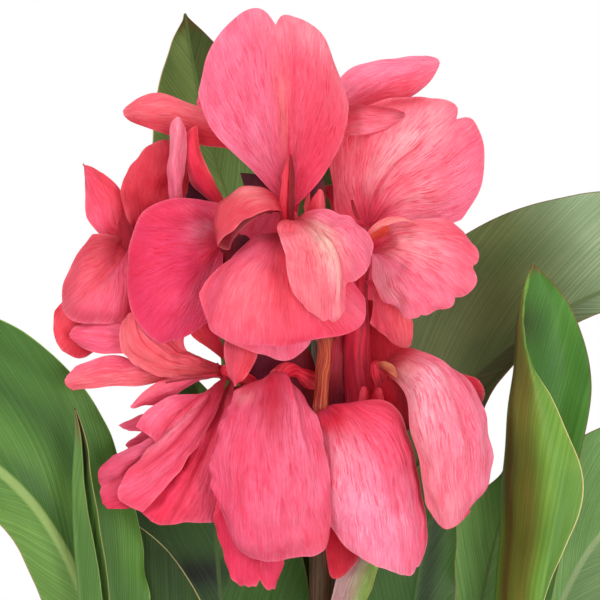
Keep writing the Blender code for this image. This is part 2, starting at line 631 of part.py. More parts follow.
def make_leaves(material):
    for name, leaf in LEAVES.items():
        stem = STEMS[leaf["of"]]
        ribs = seated_ribs(
            stem_path(stem), stem_radius(stem), leaf["seat"], leaf["ribs"], LEAF_GAP, LEAF_SPREAD
        )
        points = sheet_points(ribs, rows=14, columns=6)
        make_object("leaf_" + name, *slab(points, LEAF_THICKNESS), material)


# ---------------------------------------------------------------- pot and soil


def pot_radius(height):
    """The pot's outer radius, without its rim."""
    return POT_BASE_RADIUS + (POT_TOP_RADIUS - POT_BASE_RADIUS) * height / POT_HEIGHT


def make_pot(material):
    rim_foot = POT_HEIGHT - POT_RIM
    profile = [
        (0, 0),
        (POT_BASE_RADIUS, 0),
        (pot_radius(rim_foot), rim_foot),
        (pot_radius(rim_foot) + POT_RIM_STEP, rim_foot),
        (pot_radius(POT_HEIGHT) + POT_RIM_STEP, POT_HEIGHT - 2),
        (pot_radius(POT_HEIGHT) + POT_RIM_STEP - 2, POT_HEIGHT),
        (pot_radius(POT_HEIGHT) + 1 - POT_WALL, POT_HEIGHT),
        (pot_radius(0) - POT_WALL, POT_WALL),
        (0, POT_WALL),
    ]
    make_object("pot", *turned(profile, ROUND_SIDES), material)


def make_soil(material):
    low = POT_WALL + SEAT_GAP
    inside = POT_WALL + 2 * SEAT_GAP
    profile = [
        (0, low),
        (pot_radius(low) - inside, low),
        (pot_radius(SOIL_HEIGHT) - inside, SOIL_HEIGHT),
        (0, SOIL_HEIGHT),
    ]
    make_object("soil", *turned(profile, ROUND_SIDES), material)


def main():
    for old in list(bpy.data.objects):
        bpy.data.objects.remove(old)
    make_pot(make_material("pot", POT_GREY, 0.45))
    make_soil(make_material("soil", SOIL_BROWN, 0.95))
    make_stems(make_material("stalk", STALK_BROWN, 0.5))
    make_leaves(make_material("leaf", LEAF_GREEN, 0.42))
    make_corollas(make_material("corolla", THROAT_RED, 0.5))
    make_petals(make_material("petal", PINK, 0.55))


main()
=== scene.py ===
import math

import bpy
import numpy as np
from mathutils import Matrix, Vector


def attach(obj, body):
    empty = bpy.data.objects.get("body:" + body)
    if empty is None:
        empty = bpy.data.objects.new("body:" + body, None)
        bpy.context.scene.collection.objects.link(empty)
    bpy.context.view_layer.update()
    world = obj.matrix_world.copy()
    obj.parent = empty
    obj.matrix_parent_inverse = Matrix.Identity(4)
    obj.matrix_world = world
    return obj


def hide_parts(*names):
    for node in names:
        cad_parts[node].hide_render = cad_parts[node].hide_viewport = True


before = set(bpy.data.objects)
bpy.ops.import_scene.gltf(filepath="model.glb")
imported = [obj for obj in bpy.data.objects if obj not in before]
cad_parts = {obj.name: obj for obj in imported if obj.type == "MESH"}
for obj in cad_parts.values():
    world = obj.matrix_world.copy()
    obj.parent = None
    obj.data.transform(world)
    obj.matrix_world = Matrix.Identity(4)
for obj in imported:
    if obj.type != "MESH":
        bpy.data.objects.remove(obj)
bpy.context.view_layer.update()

headPlace = np.array([0.0, 0.0, 770.0])  # the middle of the flower head, in mm above the pot's base
toMetres = 0.001
print("canna: frame loaded with", len(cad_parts), "solids")

studio = dict(
    cameraPlace=(0.0, -4.0, 0.77), lens=595.5, sensor=36.0, aim=(0.0, 0.0, 0.72),
    keyLight=dict(place=(-1.1, -1.7, 2.1), size=0.8, power=30.0),
    fillLight=dict(place=(0.95, -2.0, 0.55), size=1.1, power=22.0),
    skyLight=0.94, seenSky=1.0, white=(1, 1, 1, 1),
    floorRadius=2.4, floorDrop=0.0005, floorColour=(0.80, 0.80, 0.79, 1), floorRoughness=0.7,
)


def linked(name, data):
    thing = bpy.data.objects.new(name, data)
    bpy.context.scene.collection.objects.link(thing)
    return thing


def setInputs(tree, node, inputs):  # by name or number: a value, or a socket to link
    for key, value in inputs.items():
        socket = node.inputs[key]
        if isinstance(value, bpy.types.NodeSocket):
            tree.links.new(value, socket)
        elif socket.type == "RGBA" and len(value) == 3:
            socket.default_value = (*value, 1)
        else:
            socket.default_value = value


def addNode(tree, kind, inputs={}, **settings):
    node = tree.nodes.new(kind)
    for name, value in settings.items():
        setattr(node, name, value)
    setInputs(tree, node, inputs)
    return node


def addCamera(scene):
    data = bpy.data.cameras.new("photoCamera")
    data.sensor_width, data.lens = studio["sensor"], studio["lens"]
    camera = linked("photoCamera", data)
    camera.location = studio["cameraPlace"]
    camera.rotation_euler = (math.radians(90), 0, 0)
    scene.camera = camera


def addLight(name):
    light = studio[name]
    data = bpy.data.lights.new(name, "AREA")
    data.shape, data.size, data.energy = "DISK", light["size"], light["power"]
    lamp = linked(name, data)
    lamp.location = light["place"]
    lamp.rotation_mode = "QUATERNION"
    lamp.rotation_quaternion = (lamp.location - Vector(studio["aim"])).to_track_quat("Z", "Y")


def addSky(scene):  # the sky that lights the plant is a little dimmer than the one that is seen
    scene.world = bpy.data.worlds.new("paleStudio")
    scene.world.use_nodes = True
    tree, white = scene.world.node_tree, studio["white"]
    seen = tree.nodes["Background"]
    setInputs(tree, seen, {"Color": white, "Strength": studio["seenSky"]})
    lit = addNode(tree, "ShaderNodeBackground", {"Color": white, "Strength": studio["skyLight"]})
    path = addNode(tree, "ShaderNodeLightPath")
    mix = addNode(tree, "ShaderNodeMixShader", {
        "Fac": path.outputs["Is Camera Ray"], 1: lit.outputs[0], 2: seen.outputs[0]})
    setInputs(tree, tree.nodes["World Output"], {"Surface": mix.outputs[0]})


def addFloor():
    bpy.ops.mesh.primitive_circle_add(vertices=128, radius=studio["floorRadius"], fill_type="NGON")
    floor = bpy.context.object
    floor.name = "studioFloor"
    floor.location.z = -studio["floorDrop"]
    paint = bpy.data.materials.new("studioFloor")
    paint.use_nodes = True
    setInputs(paint.node_tree, paint.node_tree.nodes["Principled BSDF"], {
        "Base Color": studio["floorColour"], "Roughness": studio["floorRoughness"]})
    floor.data.materials.append(paint)


scene = bpy.context.scene
scene.view_settings.view_transform = "Standard"
addCamera(scene)
addLight("keyLight")
addLight("fillLight")
addSky(scene)
addFloor()
print("canna: studio ready")


def unit(vector):
    return vector / np.maximum(np.linalg.norm(vector, axis=-1, keepdims=True), 1e-9)


def smoothStep(low, high, value):
    share = np.clip((value - low) / (high - low), 0, 1)
    return share * share * (3 - 2 * share)


def smoothCurve(points, knots, straightEnds=False):  # the curve through points, one at each knot
    points = np.array(points, float)
    order = 1 if straightEnds or len(points) < 3 else 2
    slopes = np.gradient(points, knots, axis=0, edge_order=order)

    def at(t):
        t = np.asarray(t, float)
        i = np.clip(np.searchsorted(knots, t, side="right") - 1, 0, len(knots) - 2)
        span = knots[i + 1] - knots[i]
        u = (t - knots[i]) / span
        shape = u.shape + (1,) * (points.ndim - 1)
        u, span = u.reshape(shape), span.reshape(shape)
        return (
            (1 + 2 * u) * (1 - u) ** 2 * points[i]
            + u * (1 - u) ** 2 * span * slopes[i]
            + u**2 * (3 - 2 * u) * points[i + 1]
            + u**2 * (u - 1) * span * slopes[i + 1]
        )

    return at


def smoothPath(points):  # from 0 to 1 in step with its length
    points = np.array(points, float)
    knots = np.concatenate([[0.0], np.cumsum(np.linalg.norm(np.diff(points, axis=0), axis=1))])
    return smoothCurve(points, knots / knots[-1])


def tangentOf(path, t, step=1e-3):
    return unit(path(np.asarray(t) + step) - path(np.asarray(t) - step))


def unevenness(places, size, seed, waves=9, evenOut=0.8):  # smooth, from about -1 to 1, size in mm
    draw = np.random.default_rng(seed)
    total = np.zeros(places.shape[:-1])
    for _ in range(waves):
        way = unit(draw.normal(size=places.shape[-1])) * 2 * np.pi / size * draw.uniform(0.6, 1.7)
        total += np.sin(places @ way + draw.uniform(0, 2 * np.pi))
    return total / math.sqrt(waves * evenOut)


def bell(offset, width):
    return np.exp(-((offset / width) ** 2))


def seatedRibs(path, radiusAt, seat, ribs, gap, spread, mouthShare=0.7):
    centre = path(seat)
    along = tangentOf(path, seat)
    firsts = np.array([headPlace + rib[0] for rib in ribs])
    middle = firsts.mean(axis=0) - centre
    middle = unit(middle - (middle @ along) * along)
    sideways = np.cross(along, middle)
    turn = math.copysign(spread, (firsts[-1] - firsts[0]) @ sideways)
    angle = np.linspace(-turn, turn, len(ribs))[:, None]
    outward = np.cos(angle) * middle + np.sin(angle) * sideways
    if seat < 1:
        starts = centre + outward * (radiusAt(seat) + gap)
    else:
        starts = centre + outward * radiusAt(seat) * mouthShare + along * gap
    return [[start, *(headPlace + p for p in rib)] for start, rib in zip(starts, ribs)]


def sheetGrid(ribs, s, t, reach, steps=180):  # t runs along the ribs as far as reach, s across them
    fine = np.linspace(0, 1, steps + 1)
    curves = np.array([smoothPath(rib)(fine) for rib in ribs])
    surface = smoothCurve(curves, np.linspace(0, 1, len(ribs)), True)(s)
    grid = np.empty((len(t), len(s), 3))
    for j in range(len(s)):
        for k in range(3):
            grid[:, j, k] = np.interp(t * reach[j], fine, surface[j, :, k])
    return grid


def normalsOf(grid):
    return unit(np.cross(np.gradient(grid, axis=1), np.gradient(grid, axis=0)))


def stepsAlong(grid, axis):  # running length along an axis, in mm
    steps = np.linalg.norm(np.diff(grid, axis=axis), axis=-1)
    start = np.zeros_like(np.take(steps, [0], axis=axis))
    return np.concatenate([start, np.cumsum(steps, axis=axis)], axis=axis)


fieldOf = {"FLOAT": "value", "FLOAT_VECTOR": "vector", "FLOAT_COLOR": "color"}


def addPiece(name, vertices, faces, material, attributes=(), sharp=55.0):  # vertices in mm
    mesh = bpy.data.meshes.new(name)
    mesh.from_pydata((np.asarray(vertices) * toMetres).tolist(), [], faces)
    mesh.shade_smooth()
    mesh.set_sharp_from_angle(angle=math.radians(sharp))
    mesh.materials.append(material)
    for label, kind, values in attributes:
        attribute = mesh.attributes.new(label, kind, "POINT")
        attribute.data.foreach_set(fieldOf[kind], np.asarray(values, np.float32).ravel())
    return linked(name, mesh)


def standFor(piece, slot, *nodes):
    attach(piece, "root")
    if nodes:
        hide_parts(*nodes)


def sheetFaces(rows, columns):  # both faces of a closed sheet and its rim, for grid sizes
    ids = np.arange(rows * columns).reshape(rows, columns)
    quads = np.stack([ids[:-1, :-1], ids[:-1, 1:], ids[1:, 1:], ids[1:, :-1]], -1).reshape(-1, 4)
    rim = np.concatenate([ids[0], ids[1:, -1], ids[-1, -2::-1], ids[-2:0:-1, 0]])
    onward = np.roll(rim, -1)
    edge = np.stack([onward, rim, rim + ids.size, onward + ids.size], -1)
    return np.concatenate([quads, quads[:, ::-1] + ids.size, edge])


def sheetPiece(name, sheets, material):  # each sheet is a grid, its thickness and its attributes
    vertices, faces, columns, start = [], [], {}, 0
    for grid, thickness, attributes in sheets:
        rows, cols = grid.shape[:2]
        shift = normalsOf(grid) * thickness[..., None] / 2
        vertices.append(np.concatenate([grid + shift, grid - shift]).reshape(-1, 3))
        faces += (sheetFaces(rows, cols) + start).tolist()
        start += 2 * rows * cols
        for label, kind, values in attributes:
            flat = np.asarray(values).reshape(rows * cols, -1)
            columns.setdefault((label, kind), []).append(np.concatenate([flat, flat]))
    joined = [(label, kind, np.concatenate(v)) for (label, kind), v in columns.items()]
    return addPiece(name, np.concatenate(vertices), faces, material, joined)


def tubePiece(name, path, radiusAt, rings, sides, material, roughen, leaning=(0.31, 0.23, 0.92)):
    t = np.linspace(0, 1, rings)
    centre, tangent = path(t), tangentOf(path, t)
    first = unit(np.cross(tangent, np.array(leaning)))
    second = np.cross(tangent, first)
    angle = np.linspace(0, 2 * np.pi, sides, endpoint=False)
    ring = np.cos(angle)[None, :, None] * first[:, None] + np.sin(angle)[None, :, None] * second[:, None]
    radius = np.broadcast_to(radiusAt(t)[:, None], (rings, sides)).copy()
    radius = radius + roughen(centre[:, None] + ring * radius[..., None], t[:, None])
    vertices = (centre[:, None] + ring * radius[..., None]).reshape(-1, 3)
    ids = np.arange(rings * sides).reshape(rings, sides)
    onward = np.roll(ids, -1, axis=1)
    quads = np.stack([ids[:-1], onward[:-1], onward[1:], ids[1:]], -1).reshape(-1, 4)
    faces = [*quads.tolist(), ids[0, ::-1].tolist(), ids[-1].tolist()]
    length = stepsAlong(centre[:, None], 0)
    turns = np.broadcast_arrays(np.cos(angle)[None] * 0.5, np.sin(angle)[None] * 0.5, length / 10)
    share = np.broadcast_to(t[:, None], (rings, sides))
    return addPiece(name, vertices, faces, material, [
        ("place", "FLOAT_VECTOR", np.stack(turns, -1)), ("share", "FLOAT", share)])


def linearOf(colour):  # from the 0 to 255 steps of a screen colour
    c = np.asarray(colour, float) / 255
    return np.where(c <= 0.04045, c / 12.92, ((c + 0.055) / 1.055) ** 2.4)


class Painter:  # builds a material's nodes in a few words
    def __init__(self, name, roughness=0.5, specular=0.3):
        self.material = bpy.data.materials.new(name)
        self.material.use_nodes = True
        self.tree = self.material.node_tree
        self.shader = self.tree.nodes["Principled BSDF"]
        setInputs(self.tree, self.shader, {"Roughness": roughness, "Specular IOR Level": specular})

    def add(self, kind, inputs, output=0, **settings):
        return addNode(self.tree, "ShaderNode" + kind, inputs, **settings).outputs[output]

    def attribute(self, name, output="Fac"):
        return self.add("Attribute", {}, output, attribute_name=name)

    def objectPlace(self):
        return self.add("TexCoord", {}, "Object")

    def across(self, value):  # a place that moves sideways only
        return self.add("CombineXYZ", {0: value})

    def noise(self, place, factors, detail=2.0, roughness=0.5, shift=(0, 0, 0)):
        place = self.add("VectorMath", {0: place, 1: factors, 2: shift}, operation="MULTIPLY_ADD")
        inputs = {"Vector": place, "Scale": 1.0, "Detail": detail, "Roughness": roughness}
        return self.add("TexNoise", inputs, "Fac")

    def remap(self, value, low, high, toLow=0.0, toHigh=1.0, kind="SMOOTHSTEP"):
        inputs = {"Value": value, "From Min": low, "From Max": high, "To Min": toLow, "To Max": toHigh}
        return self.add("MapRange", inputs, "Result", interpolation_type=kind)

    def plus(self, a, b):
        return self.add("Math", {0: a, 1: b}, operation="ADD")

    def times(self, a, b):
        return self.add("Math", {0: a, 1: b}, operation="MULTIPLY")

    def mix(self, factor, a, b, blend="MIX"):
        return self.add("Mix", {0: factor, 6: a, 7: b}, 2, data_type="RGBA", blend_type=blend)

    def bump(self, height, distance, strength=1.0, under=None):
        inputs = {"Height": height, "Distance": distance, "Strength": strength}
        return self.add("Bump", inputs | ({"Normal": under} if under else {}), "Normal")

    def finish(self, colour, normal, roughness, glow=0.0):
        setInputs(self.tree, self.shader, {"Base Color": colour, "Normal": normal, "Roughness": roughness})
        if glow > 0:  # light that comes through from behind
            through = self.add("BsdfTranslucent", {"Color": colour, "Normal": normal})
            both = self.add("MixShader", {0: glow, 1: self.shader.outputs[0], 2: through})
            setInputs(self.tree, self.tree.nodes["Material Output"], {"Surface": both})
        return self.material


def petalSkin():
    p = Painter("petalSkin", specular=0.32)
    place, tint, vein = p.attribute("place", "Vector"), p.attribute("tint", "Color"), p.attribute("vein")
    wander = p.remap(p.noise(place, (1.0, 0.8, 1)), 0.2, 0.8, -0.12, 0.12, "LINEAR")
    along = p.add("VectorMath", {0: place, 1: p.across(wander)}, operation="ADD")
    streak = p.remap(p.noise(along, (11, 0.8, 1), 2, 0.55), 0.52, 0.58)
    fleck = p.remap(p.noise(along, (26, 5.0, 1), 1, 0.5, (3, 1, 0)), 0.56, 0.62)
    silkSheenAndRelief = p.noise(along, (20, 1.3, 1), 3, 0.6, (7, 2, 0))
    mottle = p.noise(along, (2.6, 1.0, 1), 3, 0.6, (9, 4, 0))
    patch = p.remap(p.noise(along, (3.2, 1.6, 1), 2, 0.5, (1, 8, 0)), 0.40, 0.62, 0.25, 1.0)
    grain = p.noise(along, (90, 60, 1))
    deeper = p.mix(1.0, tint, (0.90, 0.34, 0.48), "MULTIPLY")
    lighter = p.mix(1.0, tint, (1.05, 2.1, 1.75), "MULTIPLY")
    cloud = p.noise(place, (1.1, 0.55, 1), 2, 0.5, (4, 6, 0))
    colour = p.mix(p.remap(cloud, 0.50, 0.66, 0.0, 0.34), tint, deeper)
    colour = p.mix(p.remap(cloud, 0.50, 0.34, 0.0, 0.26), colour, lighter)
    colour = p.mix(p.remap(mottle, 0.36, 0.66, 0.0, 0.28), colour, lighter)
    # painted sheen: fine pale silky lines lighten the colour, and the same noise also bumps the surface
    colour = p.mix(p.remap(silkSheenAndRelief, 0.53, 0.60, 0.0, 0.50), colour, lighter)
    colour = p.mix(p.times(p.times(p.times(streak, patch), vein), 0.95), colour, deeper)
    colour = p.mix(p.times(p.times(fleck, patch), p.times(vein, 0.55)), colour, deeper)
    colour = p.mix(p.remap(grain, 0.3, 0.7, 0.0, 0.10), colour, lighter)
    normal = p.bump(silkSheenAndRelief, 0.0006, 0.9)
    normal = p.bump(p.noise(along, (7, 0.8, 1), 2, 0.5, (5, 0, 0)), 0.0012, 0.5, normal)
    return p.finish(colour, normal, p.remap(grain, 0.3, 0.7, 0.48, 0.62), glow=0.38)


def leafBlade():
    p = Painter("leafBlade")
    place, tint = p.attribute("place", "Vector"), p.attribute("tint", "Color")
    veins, lines = p.attribute("veins"), p.across(p.times(p.attribute("phase"), 0.1))
    fine = p.noise(lines, (11, 1, 1), 1)
    broad = p.noise(lines, (3.4, 1, 1), 2, 0.6)
    blotch = p.noise(place, (0.5, 0.22, 1))
    grain = p.noise(place, (34, 16, 1), 3, 0.6)
    darker = p.mix(1.0, tint, (0.50, 0.60, 0.45), "MULTIPLY")
    lighter = p.mix(1.0, tint, (1.55, 1.36, 1.30), "MULTIPLY")
    colour = p.mix(0.42, tint, p.mix(p.remap(blotch, 0.35, 0.65), darker, lighter))
    colour = p.mix(p.times(p.remap(broad, 0.40, 0.60, 0.0, 0.60), veins), colour, darker)
    colour = p.mix(p.times(p.remap(fine, 0.50, 0.42, 0.0, 0.65), veins), colour, darker)
    colour = p.mix(p.times(p.remap(fine, 0.56, 0.64, 0.0, 0.80), veins), colour, lighter)
    colour = p.mix(p.remap(grain, 0.45, 0.7, 0.0, 0.16), colour, darker)
    ribSide, edgeSide = p.attribute("ribSide"), p.attribute("edgeSide")
    colour = p.mix(p.remap(ribSide, 0.7, 1.9, 0.85, 0.0), colour, p.attribute("ribTint", "Color"))
    colour = p.mix(p.remap(edgeSide, 0.15, 0.55, 0.85, 0.0), colour, p.attribute("rimTint", "Color"))
    relief = p.plus(p.times(broad, 1.4), p.times(fine, 0.35))
    normal = p.bump(grain, 0.00008, 0.5, p.bump(relief, 0.0004, 0.7))
    return p.finish(colour, normal, p.remap(grain, 0.3, 0.7, 0.44, 0.56), glow=0.2)


plum = (84, 10, 34)


def tubeSkin(name, dark, light, stripes, roughness, footShare=0.0):  # the foot, nearest the stalk, is plum
    p = Painter(name, roughness)
    place, share = p.attribute("place", "Vector"), p.attribute("share")
    lines = p.noise(place, (stripes, stripes, 0.35), 3, 0.6)
    dots = p.noise(place, (30, 30, 6))
    colour = p.mix(p.remap(lines, 0.36, 0.64), linearOf(dark), linearOf(light))
    colour = p.mix(p.remap(dots, 0.5, 0.7, 0.0, 0.3), colour, linearOf(dark))
    colour = p.mix(p.remap(share, 0.30, 0.50, footShare, 0.0), colour, linearOf(plum))
    normal = p.bump(dots, 0.0002, 0.4, p.bump(lines, 0.0006, 0.6))
    return p.finish(colour, normal, p.remap(dots, 0.3, 0.7, roughness - 0.06, roughness + 0.1))


stalkSkin = tubeSkin("stalkSkin", (62, 40, 26), (98, 72, 44), 10, 0.4)
shootSkin = tubeSkin("shootSkin", (62, 70, 32), (112, 122, 60), 8, 0.45)
throatSkin = tubeSkin("throatSkin", (196, 20, 46), (246, 60, 82), 9, 0.4)
crimsonSkin = tubeSkin("crimsonThroatSkin", (156, 14, 44), (206, 30, 58), 5, 0.6)
stripedSkin = tubeSkin("stripedThroatSkin", (140, 24, 38), (214, 108, 66), 12, 0.4, footShare=0.8)

stems = {
    "flower_stalk": dict(
        skin=stalkSkin, radii=(9.0, 8.0, 6.8, 6.0, 5.0, 3.0),
        path=[
            (2, 2, -583.6), (2, 2, -560), (4, 4, -380), (8, 4, -200), (9, 4, -110), (9, 4, -40), (6, 6, 30),
        ],
    ),
    "left_shoot": dict(
        skin=shootSkin, radii=(8.5, 7.5, 3.5),
        path=[(-40, 12, -583.6), (-40, 12, -570), (-52, 8, -420), (-66, 2, -250)],
    ),
    "right_shoot": dict(
        skin=shootSkin, radii=(8.5, 7.5, 3.5),
        path=[(42, 8, -583.6), (42, 8, -570), (54, 4, -420), (70, 0, -250)],
    ),
}
flowerTubes = {  # a swelling is how much, and where
    "top_front": dict(joins=0.955, bends=[(4, -14, 8), (-4, -30, 18)], throat=(-3, -44, 35)),
    "right": dict(
        joins=0.85, bends=[(22, -8, -44), (23, -12, -12)], throat=(27, -20, 29), skin=crimsonSkin,
        swelling=(1.5, 0.50),
    ),
    "upper_left": dict(joins=0.975, bends=[(-8, 0, 16), (-22, -12, 20)], throat=(-30, -27, 25)),
    "far_left": dict(joins=0.935, bends=[(-16, 8, -6), (-44, 6, 8)], throat=(-68, -10, 23)),
    "lower_left": dict(joins=0.86, bends=[(-8, -3, -43), (-18, -10, -34)], throat=(-31, -20, -28)),
    "lower_middle": dict(
        joins=0.895, bends=[(4, -10, -32), (-4, -20, -28)], throat=(-10, -32, -32), swelling=(0.3, 0.7),
    ),
    "hanging": dict(
        joins=0.92, bends=[(10, -14, -14), (9, -22, -30)], throat=(8, -30, -46), skin=stripedSkin,
        swelling=(0.3, 0.55),
    ),
    "lower_right": dict(joins=0.82, bends=[(20, -6, -66), (32, -14, -46)], throat=(30, -24, -25)),
    "top_back": dict(joins=1.0, bends=[(6, 9, 40), (6, 12, 50)], throat=(6, 14, 62)),
}
joint = dict(stalkGap=0.95, endGap=0.35, petalGap=0.55, petalSpread=0.5, leafGap=1.35, leafSpread=0.9)
stemMesh = dict(rings=220, sides=40)
tubeMesh = dict(rings=110, sides=36)
bark = dict(rough=0.18, size=14, seed=3, nodes=7, nodeHeight=0.35, nodeWidth=0.03)
warts = dict(height=0.22, size=1.7, at=0.22, width=0.12)
stemEnd = dict(start=0.985, narrower=0.3)


def stemPath(stem):
    return smoothPath([headPlace + p for p in stem["path"]])


def stemRadius(stem):
    radii = stem["radii"]
    return lambda t: np.interp(t, np.linspace(0, 1, len(radii)), radii)


def flowerPath(tube):  # from the stalk's side to the throat
    stalk = stemPath(stems["flower_stalk"])
    onAxis = stalk(tube["joins"])
    outward = headPlace + tube["bends"][0] - onAxis
    reach = joint["endGap"]
    if tube["joins"] < 1:
        along = tangentOf(stalk, tube["joins"])
        outward = outward - (outward @ along) * along
        reach = joint["stalkGap"] + stemRadius(stems["flower_stalk"])(tube["joins"])
    start = onAxis + unit(outward) * reach
    return smoothPath([start, *(headPlace + b for b in tube["bends"]), headPlace + tube["throat"]])


def seatRadius(t):  # a thin stalklet, the swollen ovary, the slimmer tube and the mouth
    return np.interp(t, [0.0, 0.08, 0.25, 0.40, 0.60, 0.90, 1.0], [1.4, 3.0, 4.3, 3.4, 2.5, 2.9, 2.4])


def tubeRadius(tube, swellWidth=0.16):  # the same in more detail
    knots = np.array([0.0, 0.05, 0.12, 0.22, 0.32, 0.39, 0.42, 0.60, 0.85, 0.97, 1.0])
    radii = np.array([1.7, 1.9, 3.6, 4.4, 3.9, 3.0, 2.6, 2.4, 2.8, 2.7, 1.6])
    amount, at = tube.get("swelling", (0.0, 0.5))
    return lambda t: smoothCurve(radii[:, None], knots)(t)[..., 0] * (1 + amount * bell(t - at, swellWidth))


def stemSkinRadius(stem):
    base = stemRadius(stem)
    return lambda t: base(t) * (1 - stemEnd["narrower"] * smoothStep(stemEnd["start"], 1.0, t))


def stemBark(places, t):
    nodes = bark["nodeHeight"] * bell(t * bark["nodes"] % 1 - 0.5, bark["nodeWidth"])
    return bark["rough"] * unevenness(places, bark["size"], bark["seed"]) + nodes


def ovaryWarts(seed):
    return lambda places, t: (
        warts["height"] * unevenness(places, warts["size"], seed) * bell(t - warts["at"], warts["width"]))


for name, stem in stems.items():
    piece = tubePiece(
        name + "_skin", stemPath(stem), stemSkinRadius(stem), **stemMesh, material=stem["skin"],
        roughen=stemBark)
    standFor(piece, "stalk", name)
for number, (name, tube) in enumerate(flowerTubes.items()):
    piece = tubePiece(
        "corolla_" + name + "_skin", flowerPath(tube), tubeRadius(tube), **tubeMesh,
        material=tube.get("skin", throatSkin), roughen=ovaryWarts(number))
    standFor(piece, "corolla", "corolla_" + name)
print("canna: stems and flower tubes ready")

# A petal's ribs run from its seat to its margin, first one side margin, last the other. A cut is where, how
# deep and how wide, a crease from where to where, how high and how wide, a spot where, how wide and high,
# its colour and how strong.
rose, deepRose, salmon, blush = (244, 90, 124), (240, 48, 86), (246, 106, 122), (248, 142, 162)
cream, red, darkRed = (248, 182, 176), (204, 22, 46), (132, 10, 28)
lilac, coral = (242, 106, 140), (242, 70, 90)
petalSheet = dict(
    middle=0.5, rim=0.16, taper=3, usual=60, ragSize=9, cornerShare=0.22, cutPower=1.2, opens=(0.12, 0.40),
    frillSizes=(11, 5), frillFade=0.07, baseWash=0.88, valleyShadeWash=0.45, hemWidth=0.8, veinFade=7, apart=3.7,
)
seedOf = dict(ruffle=40, crumple=80, frill=160, fineFrill=170, wave=300, leafRuffle=340, pleat=380)
bigPetal = dict(
    base=red, vein=0.5, ruffle=(0.6, 12, 4), crumple=(0.4, 12), corner=(0.04, 0.04), ragged=0.001,
    frill=(0, 0), hem=(blush, 0.25), cells=(72, 64), cuts=[], creases=[], spots=[],
)
